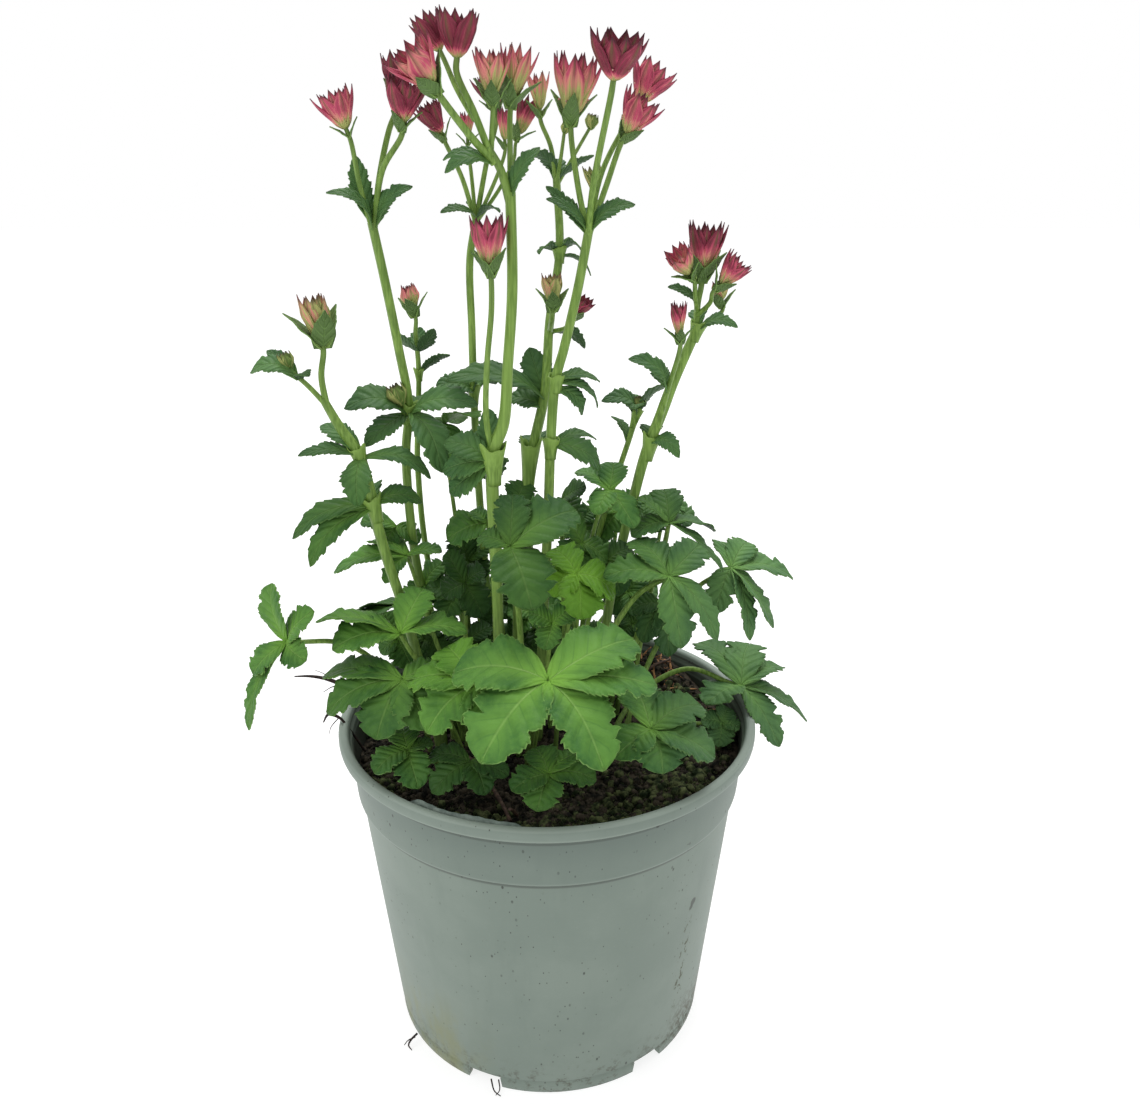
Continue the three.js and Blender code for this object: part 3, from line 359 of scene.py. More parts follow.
def setReading(mesh, name, values):
    mesh.attributes.new(name, "FLOAT", "POINT").data.foreach_set("value", np.array(values, np.float32))


def smoothPath(points, perSpan=8):
    # a centripetal curve through the points, with each sample's place along it from 0 to 1
    p = np.array(points, float)
    p = np.vstack([2 * p[0] - p[1], p, 2 * p[-1] - p[-2]])
    samples = []
    for i in range(1, len(p) - 2):
        a, b, c, d = p[i - 1:i + 3]
        ab, bc, cd = (max(np.linalg.norm(v) ** 0.5, 1e-4) for v in (b - a, c - b, d - c))
        leave = ((b - a) / ab - (c - a) / (ab + bc) + (c - b) / bc) * bc
        reach = ((c - b) / bc - (d - b) / (bc + cd) + (d - c) / cd) * bc
        for k in range(perSpan):
            t = k / perSpan
            samples.append(b + leave * t + (3 * (c - b) - 2 * leave - reach) * t**2
                           + (2 * (b - c) + leave + reach) * t**3)
    samples.append(p[-2])
    return np.array(samples), np.linspace(0, 1, len(samples))


def arch(start, control, end, t):
    t = t[:, None]
    return start * (1 - t)**2 + 2 * control * t * (1 - t) + end * t**2


def newPart():
    return {"points": [], "faces": [], "lobe": [], "tone": []}


def addGrid(part, grid, lobe=None, tone=0.0, closed=False):
    rows, columns = grid.shape[:2]
    first = sum(len(p) for p in part["points"])
    part["points"].append(grid.reshape(-1, 3))
    part["lobe"].append(np.zeros((rows * columns, 2)) if lobe is None else lobe.reshape(-1, 2))
    part["tone"].append(np.full(rows * columns, tone) if np.isscalar(tone) else tone.ravel())
    for i in range(rows - 1):
        for k in range(columns if closed else columns - 1):
            a = first + i * columns
            b = a + (k + 1) % columns
            part["faces"].append((a + k, b, b + columns, a + k + columns))


# How a blade waves, where its quilting lies and how wide its clefts are, as shares of its length
bladeHabit = {"columns": 9, "waves": 2.3, "quilts": 6, "quiltSlant": 0.25, "quiltEdge": 1.15, "cleft": 0.035}


def addBlade(part, line, across, widths, t, fold=0.2, bow=0.0, kick=None, push=0.0, quilt=0.0, clefts=(), ripple=0.0,
             tone=0.0, outward=False):
    # One lobe: a strip along the line, toothed where kick says and cut in at the clefts
    columns = bladeHabit["columns"]
    tangent = unit(np.gradient(line, axis=0))
    across = np.broadcast_to(across, line.shape)
    normal = unit(np.cross(tangent, across))
    sides = np.linspace(-1, 1, columns)
    waves = ripple * np.sin(2 * math.pi * (t * bladeHabit["waves"] + random.uniform()))
    grid = np.zeros((len(line), columns, 3))
    for k, side in enumerate(sides):
        w = widths.copy()
        for at, which, depth in clefts:
            if side * which > 0:
                w *= 1 - depth * abs(side)**1.5 * np.exp(-((t - at) / bladeHabit["cleft"])**2)
        reach = side * w
        centre = line
        if kick is not None and k in (0, columns - 1):
            reach = reach * (1 + kick)
            centre = line + tangent * (np.maximum(kick, 0) * push)[:, None]
        swell = quilt * np.cos(2 * math.pi * bladeHabit["quilts"] * (t - bladeHabit["quiltSlant"] * abs(side)))
        swell = swell * abs(side) * (bladeHabit["quiltEdge"] - abs(side))
        height = (fold * abs(side) + (bow + waves) * side**2) * w + swell
        grid[:, k] = centre + across * reach[:, None] + normal * height[:, None]
    lobe = np.stack(np.broadcast_arrays(t[:, None], (sides[None] + 1) / 2), axis=-1)
    if not np.isscalar(tone):
        tone = np.repeat(tone[:, None], columns, axis=1)
    if not outward:
        grid, lobe = grid[:, ::-1], lobe[:, ::-1]
    addGrid(part, grid, lobe, tone)


def makeObject(name, part, materials, thickness=0.0, weld=False):
    mesh = newMesh(name, (np.concatenate(part["points"]) * mm).tolist(), [], part["faces"])
    corners = np.zeros(len(mesh.loops), np.int32)
    mesh.loops.foreach_get("vertex_index", corners)
    lobe = np.concatenate(part["lobe"])[corners].astype(np.float32)
    mesh.uv_layers.new(name="lobe").data.foreach_set("uv", lobe.ravel())
    setReading(mesh, "tone", np.concatenate(part["tone"]))
    for material in materials:
        mesh.materials.append(material)
    mesh.shade_smooth()
    made = newObject(name, mesh)
    if weld:
        made.modifiers.new("weld", "WELD").merge_threshold = 0.00001
    if thickness:
        shell = made.modifiers.new("thickness", "SOLIDIFY")
        shell.thickness = thickness * mm
        shell.offset = -1
        shell.material_offset = len(materials) - 1
    if made.modifiers:
        bakeModifiers(made)
    return made


def bakeModifiers(made):
    graph = bpy.context.evaluated_depsgraph_get()
    mesh = bpy.data.meshes.new_from_object(made.evaluated_get(graph))
    made.modifiers.clear()
    old = made.data
    made.data = mesh
    mesh.name = made.name
    bpy.data.meshes.remove(old)
    return made


def keepPiece(made, slot, *nodes):
    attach(made, "root")
    if nodes:
        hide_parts(*nodes)
    return made


# Geometry node trees
def startTree(name, inputs):
    tree = bpy.data.node_groups.new(name, "GeometryNodeTree")
    tree.is_modifier = True
    tree.interface.new_socket("Geometry", in_out="INPUT", socket_type="NodeSocketGeometry")
    for label, value in inputs.items():
        kind = {int: "NodeSocketInt", float: "NodeSocketFloat"}.get(type(value), "NodeSocketMaterial")
        socket = tree.interface.new_socket(label, in_out="INPUT", socket_type=kind)
        if kind != "NodeSocketMaterial":
            socket.default_value = value
    tree.interface.new_socket("Geometry", in_out="OUTPUT", socket_type="NodeSocketGeometry")
    return tree, tree.nodes.new("NodeGroupInput").outputs


def endTree(tree, geometry, material):
    smooth = put(tree, "GeometryNodeSetShadeSmooth", {"Geometry": geometry})
    real = put(tree, "GeometryNodeRealizeInstances", {"Geometry": smooth.outputs[0]})
    dressed = put(tree, "GeometryNodeSetMaterial", {"Geometry": real.outputs[0], "Material": material})
    put(tree, "NodeGroupOutput", {"Geometry": dressed.outputs[0]})
    return tree


def grow(made, tree, **values):
    modifier = made.modifiers.new(tree.name, "NODES")
    modifier.node_group = tree
    for item in tree.interface.items_tree:
        if item.in_out == "INPUT" and item.name.replace(" ", "") in values:
            modifier[item.identifier] = values[item.name.replace(" ", "")]
    return bakeModifiers(made)


def here(tree):
    return put(tree, "GeometryNodeInputPosition").outputs[0]


def stored(tree, name):
    return put(tree, "GeometryNodeInputNamedAttribute", {"Name": name}, data_type="FLOAT").outputs[0]


def chance(tree, low, high, seed):
    return put(tree, "FunctionNodeRandomValue", {2: low, 3: high, "Seed": seed}, data_type="FLOAT").outputs[1]


def scaled(tree, vector, size):
    return put(tree, "ShaderNodeVectorMath", {0: vector, "Scale": size}, operation="SCALE").outputs[0]


def shifted(tree, geometry, offset):
    return put(tree, "GeometryNodeSetPosition", {"Geometry": geometry, "Offset": offset}).outputs[0]


def cone(tree, vertices, top, bottom, depth, segments=1):
    values = {"Vertices": vertices, "Side Segments": segments, "Radius Top": top, "Radius Bottom": bottom,
              "Depth": depth}
    return put(tree, "GeometryNodeMeshCone", values).outputs[0]


def placed(tree, geometry, **place):
    return put(tree, "GeometryNodeTransform", {"Geometry": geometry, **place}).outputs[0]


def gathered(tree, *shapes):
    both = put(tree, "GeometryNodeJoinGeometry")
    for shape in shapes:
        tree.links.new(shape, both.inputs[0])
    return both.outputs[0]


def copies(tree, points, shape, turn, size=(1.0, 1.0, 1.0)):
    values = {"Points": points, "Instance": shape, "Rotation": turn, "Scale": size}
    return put(tree, "GeometryNodeInstanceOnPoints", values).outputs[0]


def stalkTree():
    # Turns lines that carry a radius into ribbed round stalks
    tree, given = startTree("ribbedStalk", {"Sides": 10, "Ribs": 5, "Rib Depth": 0.06, "Material": None})
    lines = put(tree, "GeometryNodeMeshToCurve", {"Mesh": given["Geometry"]}).outputs[0]
    ring = put(tree, "GeometryNodeCurvePrimitiveCircle", {"Resolution": given["Sides"], "Radius": 1.0}).outputs[0]
    x, y, _ = split(tree, here(tree))
    wave = calc(tree, "COSINE", times(tree, calc(tree, "ARCTAN2", y, x), given["Ribs"]))
    ring = shifted(tree, ring, scaled(tree, here(tree), times(tree, wave, given["Rib Depth"])))
    values = {"Curve": lines, "Profile Curve": ring, "Scale": stored(tree, "stalkRadius"), "Fill Caps": True}
    return endTree(tree, put(tree, "GeometryNodeCurveToMesh", values).outputs[0], given["Material"])


def bractTree():
    # Repeats one bract round the Z axis, each a little larger or smaller and turned a little
    tree, given = startTree("bractRing", {"Count": 12, "Phase": 0.0, "Jitter": 0.1, "Seed": 0, "Material": None})
    dots = put(tree, "GeometryNodePoints", {"Count": given["Count"]}).outputs[0]
    step = calc(tree, "DIVIDE", 2 * math.pi, given["Count"])
    wobble = chance(tree, -1.0, 1.0, given["Seed"])
    index = put(tree, "GeometryNodeInputIndex").outputs[0]
    place = plus(tree, index, given["Phase"], times(tree, wobble, given["Jitter"]))
    lean = times(tree, wobble, times(tree, given["Jitter"], 0.5))
    turn = combined(tree, 0.0, lean, times(tree, place, step))
    ring = copies(tree, dots, given["Geometry"], turn, chance(tree, 0.93, 1.05, given["Seed"]))
    ring = put(tree, "GeometryNodeStoreNamedAttribute",
               {"Geometry": ring, "Name": "shade", "Value": chance(tree, -1.0, 1.0, given["Phase"])},
               data_type="FLOAT", domain="INSTANCE").outputs[0]
    return endTree(tree, ring, given["Material"])


def scatterTree(name, shape):
    # Scatters small bodies over the faces that the attribute "share" allows
    inputs = {"Density": 1000.0, "Smallest": 0.001, "Largest": 0.003, "Rough": 0.0, "Tilt": 3.14, "Seed": 0,
              "Material": None}
    tree, given = startTree(name, inputs)
    density = times(tree, given["Density"], stored(tree, "share"))
    spread = put(tree, "GeometryNodeDistributePointsOnFaces",
                 {"Mesh": given["Geometry"], "Density": density, "Seed": given["Seed"]})
    tilt = chance(tree, times(tree, given["Tilt"], -1.0), given["Tilt"], 3)
    turned = put(tree, "FunctionNodeRotateRotation",
                 {0: spread.outputs["Rotation"], 1: combined(tree, tilt, 0.0, chance(tree, 0.0, 6.28, 5))},
                 rotation_space="LOCAL").outputs[0]
    size = chance(tree, given["Smallest"], given["Largest"], given["Seed"])
    bodies = copies(tree, spread.outputs["Points"], shape(tree), turned, size)
    bodies = put(tree, "GeometryNodeRealizeInstances", {"Geometry": bodies}).outputs[0]
    # push the points about, so that no two bodies are alike
    lumps = put(tree, "ShaderNodeTexNoise", {"Vector": here(tree), "Scale": 420.0, "Detail": 2.0}).outputs["Color"]
    centred = put(tree, "ShaderNodeVectorMath", {0: lumps, 1: (0.5, 0.5, 0.5)}, operation="SUBTRACT").outputs[0]
    return endTree(tree, shifted(tree, bodies, scaled(tree, centred, given["Rough"])), given["Material"])


def crumbShape(tree):
    return put(tree, "GeometryNodeMeshUVSphere", {"Radius": 1.0, "Segments": 6, "Rings": 4}).outputs[0]


def gritShape(tree, radius=1.0):
    return put(tree, "GeometryNodeMeshIcoSphere", {"Radius": radius, "Subdivisions": 1}).outputs[0]


def mossShape(tree):
    # a tuft of three short pointed leaves
    leaf = cone(tree, 3, 0.02, 0.28, 1.0)
    return gathered(tree, *[placed(tree, leaf, Rotation=(0.75, 0.0, 2.1 * k)) for k in range(3)])


def huskShape(tree):
    # a thin curled flake of bark
    return placed(tree, cone(tree, 5, 0.07, 0.13, 2.2, segments=3), Rotation=(1.45, 0.2, 0.0), Scale=(1.8, 1.0, 1.0))


def floretShape(tree):
    # a floret bud on its own thread
    head = placed(tree, gritShape(tree, 0.42), Translation=(0.0, 0.0, 2.4), Scale=(1.0, 1.0, 1.35))
    return gathered(tree, cone(tree, 4, 0.1, 0.1, 2.2), head)


ribbedStalk = stalkTree()
bractRing = bractTree()
crumbField = scatterTree("crumbField", crumbShape)
gritField = scatterTree("gritField", gritShape)
mossField = scatterTree("mossField", mossShape)
huskField = scatterTree("huskField", huskShape)
floretField = scatterTree("floretField", floretShape)
print("geometry node trees ready")

# Pot: a turned wall, its foot cut by notches and its floor by drain holes
potSize = {
    "outline": [
        (0, 6.5), (30, 6.5), (58, 6.5), (62, 6.5), (62.4, 6), (63.3, 0.4), (63.7, 0), (66.2, 0), (66.5, 0.4),
        (66.85, 4.9), (66.6, 5.4), (66.7, 6.1), (67.1, 6.5), (70.2, 37), (73.9, 73), (77.3, 106.5), (77.45, 108),
        (77.6, 108.6), (78.3, 109.1), (78.95, 109.7), (79.15, 110.6), (79.3, 112), (79.5, 115), (80.2, 122),
        (81.1, 130.2), (81.4, 131.2), (82, 131.5), (84.2, 131.4), (84.8, 131.9), (85, 132.9), (85, 134.8),
        (84.8, 135.7), (84.3, 136.3), (83.5, 136.5), (82.5, 136.5), (81.8, 136.2), (81.1, 135.2), (80.6, 133),
        (79.9, 131), (78.9, 124), (77.9, 113.5), (77.4, 111.5), (76.6, 109.5), (76, 108), (72.6, 75), (68.9, 40),
        (65.6, 10), (65, 8.6), (64, 8), (40, 8), (0, 8),
    ],
    "sides": 144, "feet": 6, "heading": -53.5, "notchWidth": 16.0, "notchTop": 13.6, "notchHeight": 5.4,
    "drainRadius": 4.5, "drainRing": 48.0, "drainSides": 24, "sharpEdge": 38,
}
potLook = {
    # a pale wear colour that also paints highlights, and a dark colour that paints shadow and shade, with soil stain
    # inside the wall
    "base": (0.170, 0.216, 0.183), "worn": (0.245, 0.295, 0.252), "shade": (0.118, 0.156, 0.134),
    "speck": (0.035, 0.04, 0.032), "stain": (0.20, 0.215, 0.10), "dirt": (0.055, 0.05, 0.03),
    "soiled": (0.028, 0.032, 0.024), "moss": (0.040, 0.046, 0.014),
    # painted highlight and shadow lines round the pot: level, reach, strength and colour, in metres
    "outerLines": [
        (0.1321, 0.0007, 0.5, "worn"), (0.1362, 0.0008, 0.7, "worn"), (0.1100, 0.0006, 0.3, "worn"),
        (0.1082, 0.0012, 0.5, "soiled"), (0.1284, 0.0009, 0.4, "soiled"), (0.0062, 0.0005, 0.35, "soiled"),
    ],
    # painted shadow and highlight lines inside the rim that show two ridges: level, strength and colour
    "innerLines": [(0.1338, 0.75, "soiled"), (0.1318, 0.5, "worn"), (0.1290, 0.45, "base")],
    # fine specks: how close they lie, their size and how many are left out
    "specks": [(210.0, 0.10, 0.56), (430.0, 0.11, 0.50)],
    # single spots: place and radius
    "spots": [
        ((-0.0068, -0.0811, 0.1318), 0.0008), ((0.0248, -0.0774, 0.1315), 0.0007), ((0.0385, -0.0714, 0.1283), 0.0009),
        ((0.0446, -0.0678, 0.1280), 0.0006), ((0.0562, -0.0488, 0.0775), 0.0022), ((0.0556, -0.0496, 0.0752), 0.0016),
    ],
    "seam": -0.735,
}


def potMaterial(look):
    material, tree, shader, place = startMaterial("potPlastic", roughness=0.5, specular=0.35)
    x, y, z = split(tree, place)
    angle = calc(tree, "ARCTAN2", y, x)
    radius = calc(tree, "SQRT", plus(tree, times(tree, x, x), times(tree, y, y)))
    cloud = grain(tree, place, 26, 4, 0.6)
    drips = grain(tree, stretched(tree, place, (1, 1, 0.12)), 120, 4, 0.6)
    fine = grain(tree, place, 900, 3, 0.7)
    colour = mixed(tree, band(tree, cloud, 0.35, 0.7, 0.0, 0.3), look["base"], look["worn"])
    colour = mixed(tree, band(tree, drips, 0.5, 0.75, 0.0, 0.16), colour, look["shade"])
    colour = mixed(tree, band(tree, fine, 0.55, 0.75, 0.0, 0.15), colour, look["worn"])
    # a darker collar, painted shade under the lip; painted shadow lines under its step, its lip and the foot's step;
    # painted highlight lines on the lip and above the step
    collarShade = times(tree, band(tree, z, 0.1075, 0.109), band(tree, z, 0.114, 0.1288, 0.35, 0.8),
                   band(tree, z, 0.1305, 0.1318, 1.0, 0.0))
    colour = mixed(tree, collarShade, colour, look["shade"])
    # painted highlights and painted shadow lines round the lip, the step and the foot
    for level, reach, strength, name in look["outerLines"]:
        colour = mixed(tree, band(tree, offBy(tree, z, level), reach * 0.3, reach, strength, 0.0), colour, look[name])
    # algae low on the left
    leftSide = band(tree, offBy(tree, angle, -2.5), 0.15, 0.75, 1.0, 0.0)
    low = times(tree, band(tree, z, 0.006, 0.050, 1.0, 0.0), band(tree, drips, 0.32, 0.6))
    patchy = band(tree, grain(tree, place, 60, 4, 0.65), 0.4, 0.62, 0.25, 1.0)
    colour = mixed(tree, times(tree, leftSide, low, patchy, 0.85), colour, look["stain"])
    # dirt splashed on the foot, with a crust and moss on its right
    splash = times(tree, band(tree, z, 0.003, 0.020, 1.0, 0.0), band(tree, grain(tree, place, 260, 5, 0.75), 0.5, 0.66))
    colour = mixed(tree, times(tree, splash, 0.75), colour, look["dirt"])
    rightFoot = times(tree, band(tree, angle, -0.85, -0.6), band(tree, z, 0.012, 0.030, 1.0, 0.0),
                      band(tree, angle, 0.1, 0.9, 1.0, 0.12))
    crust = times(tree, rightFoot, band(tree, grain(tree, place, 420, 4, 0.7), 0.46, 0.56))
    colour = mixed(tree, times(tree, crust, 0.6), colour, look["dirt"])
    edge = times(tree, rightFoot, band(tree, z, 0.011, 0.019, 1.0, 0.0),
                 band(tree, grain(tree, place, 330, 4, 0.7), 0.52, 0.57))
    colour = mixed(tree, times(tree, edge, 0.9), colour, look["moss"])
    for scale, size, amount in look["specks"]:
        cells = put(tree, "ShaderNodeTexVoronoi", {"Vector": stretched(tree, place, (1, 1, 0.6)), "Scale": scale})
        speck = band(tree, cells.outputs["Distance"], size * 0.6, size * 1.25, 1.0, 0.0)
        few = band(tree, grain(tree, place, 46, 3), amount - 0.1, amount + 0.04)
        colour = mixed(tree, times(tree, speck, few, 0.85), colour, look["speck"])
    for middle, size in look["spots"]:
        away = put(tree, "ShaderNodeVectorMath", {0: place, 1: middle}, operation="DISTANCE").outputs["Value"]
        colour = mixed(tree, band(tree, away, size * 0.6, size, 0.8, 0.0), colour, look["speck"])
    # a moulding seam up the right, marked with flecks of dirt
    flecks = band(tree, grain(tree, stretched(tree, place, (1, 1, 0.6)), 520, 3, 0.6), 0.575, 0.61)
    seam = times(tree, band(tree, offBy(tree, angle, look["seam"]), 0.020, 0.050, 1.0, 0.0), flecks,
                 band(tree, z, 0.060, 0.080, 1.0, 0.0), band(tree, z, 0.018, 0.030))
    colour = mixed(tree, times(tree, seam, 0.95), colour, look["moss"])
    # the inside of the wall above the soil, told by its radius, darkens lower down, soil stain and painted shade
    # together, and painted shadow and highlight lines show two ridges
    inside = band(tree, minus(tree, radius, times(tree, z, 0.117)), 0.0652, 0.0658, 1.0, 0.0)
    inside = times(tree, inside, band(tree, z, 0.111, 0.112))
    shadeAndStainDepth = plus(tree, z, times(tree, cloud, 0.006))
    colour = mixed(tree, times(tree, inside, band(tree, shadeAndStainDepth, 0.1295, 0.1375, 0.95, 0.2)), colour, look["soiled"])
    # painted shadow and highlight lines that show two ridges
    for level, strength, name in look["innerLines"]:
        line = band(tree, offBy(tree, z, level), 0.0002, 0.0008, strength, 0.0)
        colour = mixed(tree, times(tree, inside, line), colour, look[name])
    endMaterial(tree, shader, colour, fine, 0.15, 0.0003)
    return material


def potFeetTree():
    # Cuts evenly spaced notches out of the foot and drain holes out of the floor
    inputs = {"Feet": 6, "Heading": 0.0, "Notch Width": 0.016, "Notch Top": 0.0136, "Notch Height": 0.0054,
              "Drain Radius": 0.0045, "Drain Ring": 0.048, "Material": None}
    tree, given = startTree("potFeet", inputs)
    half, sink = math.sqrt(0.5), 0.004
    wedge = cone(tree, 4, times(tree, given["Notch Top"], half), times(tree, given["Notch Width"], half),
                 plus(tree, given["Notch Height"], sink))
    wedge = placed(tree, wedge, Rotation=(0.0, 0.0, math.pi / 4))
    wedge = placed(tree, wedge, Translation=(0.064, 0.0, -sink), Scale=(1.6, 1.0, 1.0))
    drain = put(tree, "GeometryNodeMeshCylinder",
                {"Vertices": potSize["drainSides"], "Radius": given["Drain Radius"], "Depth": 0.01}).outputs[0]
    drain = placed(tree, drain, Translation=combined(tree, given["Drain Ring"], 0.0, 0.0072))
    dots = put(tree, "GeometryNodePoints", {"Count": given["Feet"]}).outputs[0]
    index = put(tree, "GeometryNodeInputIndex").outputs[0]
    step = calc(tree, "DIVIDE", 2 * math.pi, given["Feet"])
    turn = combined(tree, 0.0, 0.0, plus(tree, given["Heading"], times(tree, index, step)))
    cutters = copies(tree, dots, gathered(tree, wedge, drain), turn)
    cutters = put(tree, "GeometryNodeRealizeInstances", {"Geometry": cutters}).outputs[0]
    cut = put(tree, "GeometryNodeMeshBoolean", {0: given["Geometry"], 1: cutters}, operation="DIFFERENCE",
              solver="EXACT")
    return endTree(tree, cut.outputs[0], given["Material"])


def turned(name, outline, sides):
    # a closed turned mesh about Z; the first and last outline points lie on the axis
    rings = outline[1:-1]
    turns = [2 * math.pi * k / sides for k in range(sides)]
    points = [(0, 0, outline[0][1])]
    points += [(r * math.cos(a), r * math.sin(a), z) for r, z in rings for a in turns]
    points.append((0, 0, outline[-1][1]))
    faces = [(0, 1 + (k + 1) % sides, 1 + k) for k in range(sides)]
    for i in range(len(rings) - 1):
        for k in range(sides):
            a, b = 1 + i * sides + k, 1 + i * sides + (k + 1) % sides
            faces.append((a, b, b + sides, a + sides))
    last = 1 + (len(rings) - 1) * sides
    faces += [(last + k, last + (k + 1) % sides, len(points) - 1) for k in range(sides)]
    return newObject(name, newMesh(name, (np.array(points) * mm).tolist(), [], faces))


def buildPot(size):
    pot = turned("Pot", size["outline"], size["sides"])
    grow(pot, potFeetTree(), Feet=size["feet"], Heading=math.radians(size["heading"]),
         NotchWidth=size["notchWidth"] * mm, NotchTop=size["notchTop"] * mm, NotchHeight=size["notchHeight"] * mm,
         DrainRadius=size["drainRadius"] * mm, DrainRing=size["drainRing"] * mm, Material=potMaterial(potLook))
    pot.data.set_sharp_from_angle(angle=math.radians(size["sharpEdge"]))
    keepPiece(pot, "pot", "pot")


# A torn pale sliver of plastic that stands just inside the front of the rim
sliverSize = {"from": -129, "sweep": 33, "radius": 79.9, "lean": 1.3, "foot": 131, "height": 4.5, "thickness": 0.4}


def buildSliver(size):
    t = np.linspace(0, 1, 40)
    angles = np.radians(size["from"] + size["sweep"] * t)
    rise = size["height"] + 0.3 * np.sin(13 * t) + 0.15 * np.sin(61 * t)
    rise = rise * np.minimum(1, 6 * np.minimum(t, 1 - t) + 0.5)
    rows = []
    for level in (0, 0.5, 1):
        radius = size["radius"] - size["lean"] * level
        rows.append(np.stack([radius * np.cos(angles), radius * np.sin(angles), size["foot"] + level * rise], axis=-1))
    part = newPart()
    addGrid(part, np.array(rows))
    keepPiece(makeObject("RimSliver", part, [sliverSkin], size["thickness"]), "pot")


# Soil: peat up to the collar, with crumbs, grit, moss and bark husks strewn over it
soilSize = {
    "wall": [(0, 8.3), (65, 8.3), (75.7, 108), (77.1, 111.5)], "edge": 77.9, "level": 118.0, "stalkFoot": 110.3,
    "sides": 150, "rings": 46, "ringCrowding": 1.15, "grit": 1.5, "gritScale": 0.16, "shore": 4, "bareEdge": 2,
    "wallLean": 0.0017,
    # hills: x, y, height and spread; the heaps on the right are capped at the last number
    "mound": (-12, 4, 3, 1200), "heaps": [(48, 52, 14, 800), (76, 4, 8, 500)], "highest": 14.5, "firstSeed": 4,
    # name, patches, tree, density, sizes, tilt, unevenness and material
    "strewn": [
        ("SoilCrumbs", None, crumbField, 88000.0, (0.7, 2.0), 3.14, 0.0012, crumbSkin),
        ("SoilGrit", None, gritField, 235000.0, (0.4, 1.1), 3.14, 0.0006, crumbSkin),
        ("MossCushions", "moss", crumbField, 130000.0, (0.8, 2.4), 3.14, 0.0016, mossSkin),
        ("Moss", "moss", mossField, 350000.0, (1.0, 2.2), 0.5, 0.0, mossSkin),
        ("Husks", "husk", huskField, 150000.0, (1.4, 3.4), 0.5, 0.0012, huskSkin),
    ],
    # patches: x, y and radius
    "moss": [
        (28, -52, 21), (-20, -62, 17), (12, -66, 13), (54, -34, 19), (4, -66, 14), (66, -6, 13), (-66, -26, 11),
        (-40, -58, 13), (-10, 66, 14), (-64, 34, 9), (36, 60, 10), (60, 30, 7),
    ],
    "husk": [(56, 50, 15), (64, 38, 10), (46, 60, 8), (68, 20, 6), (-66, 8, 4)],
}


def hill(x, y, row):
    a, b, height, spread = row
    return height * np.exp(-((x - a)**2 + (y - b)**2) / spread)


def soilHeight(x, y, size):
    rise = 2 * np.sin(x / 13 + 1) * np.cos(y / 11) + np.sin(x / 6 - y / 7) + hill(x, y, size["mound"])
    inward = size["edge"] - np.hypot(x, y)
    heap = hill(x, y, size["heaps"][0]) + hill(x, y, size["heaps"][1])
    return size["level"] + rise * np.clip(inward / 10, 0, 1) + np.minimum(heap, size["highest"])


def patchShare(x, y, patches):
    return min(1.0, sum(math.exp(-((x - a)**2 + (y - b)**2) / (0.7 * r * r)) for a, b, r in patches))


def buildSoil(size):
    rings, edge = size["rings"], size["edge"]
    outline = size["wall"] + [(edge * (1 - (i / rings)**size["ringCrowding"]), size["level"]) for i in range(rings + 1)]
    soil = turned("Soil", outline, size["sides"])
    spots = pointsOf(soil.data) / mm
    top = np.nonzero(spots[:, 2] > size["level"] - 0.1)[0]
    for i in top:
        x, y = spots[i, :2]
        rough = noise.fractal(Vector((x, y, 0)) * size["gritScale"], 0.8, 2.1, 5) * size["grit"]
        near = min(1.0, (edge - math.hypot(x, y)) / size["shore"])
        spots[i, 2] = soilHeight(x, y, size) + rough * near
        # out to the wall, which leans
        spots[i, :2] *= 1 + size["wallLean"] * (spots[i, 2] - size["level"]) * (1 - near)
    soil.data.vertices.foreach_set("co", (spots * mm).ravel())
    soil.data.materials.append(crumbSkin)
    soil.data.shade_smooth()
    keepPiece(soil, "soil", "soil")
    for number, (title, patch, tree, density, sizes, tilt, rough, skin) in enumerate(size["strewn"]):
        ground = newObject(title, soil.data.copy())
        ground.data.name = title
        share = np.zeros(len(spots))
        for i in top:
            x, y = spots[i, :2]
            if math.hypot(x, y) <= edge - size["bareEdge"]:
                share[i] = 1.0 if patch is None else patchShare(x, y, size[patch])
        setReading(ground.data, "share", share)
        grow(ground, tree, Density=density, Smallest=sizes[0] * mm, Largest=sizes[1] * mm, Rough=rough, Tilt=tilt,
             Seed=size["firstSeed"] + number, Material=skin)
        keepPiece(ground, "soil", "soil")


# Roots that hang over the rim, dry stalks on the soil and root hairs at the foot: points and radii
oldRoots = [
    ([(-74, 12, 121), (-79, 12, 133), (-84, 11, 141), (-92, 10, 146), (-99, 10, 147.5), (-106, 11, 147)],
     (1.0, 0.9, 1.1, 0.8, 0.35)),
    ([(-86, 11, 142.5), (-90, 9, 143), (-94, 8, 141)], (0.4, 0.15)),
    ([(-90, 10, 145), (-93, 9, 149), (-97, 9, 151)], (0.3, 0.12)),
    ([(-75, -8, 122), (-80.5, -9, 133), (-84, -10, 139), (-88, -11, 141), (-90, -12, 138)], (0.6, 0.6, 0.9, 0.3)),
    ([(-84, -10, 139), (-87, -12, 136), (-88, -13, 133)], (0.3, 0.12)),
    ([(-60, -40, 120), (-52, -50, 122.5), (-44, -58, 120.5), (-36, -64, 121.5)], (0.5, 0.6, 0.3)),
    ([(40, -60, 120), (48, -52, 122), (58, -44, 120.5), (64, -34, 121.5)], (0.5, 0.5, 0.3)),
    ([(20, 60, 120), (6, 66, 122.5), (-12, 64, 120.5), (-26, 66, 121)], (0.6, 0.5, 0.3)),
]
dryStalks = [
    ([(-34, -8, 119), (-30, -20, 124), (-24, -34, 125), (-18, -47, 123.5), (-14, -56, 121)], (1.1, 1.0, 0.7)),
    ([(36, 30, 119), (46, 38, 135), (56, 44, 137)], (0.9, 0.6)),
    ([(-12, -50, 119), (-13, -57, 126), (-14, -62, 130)], (0.9, 0.7)),
]
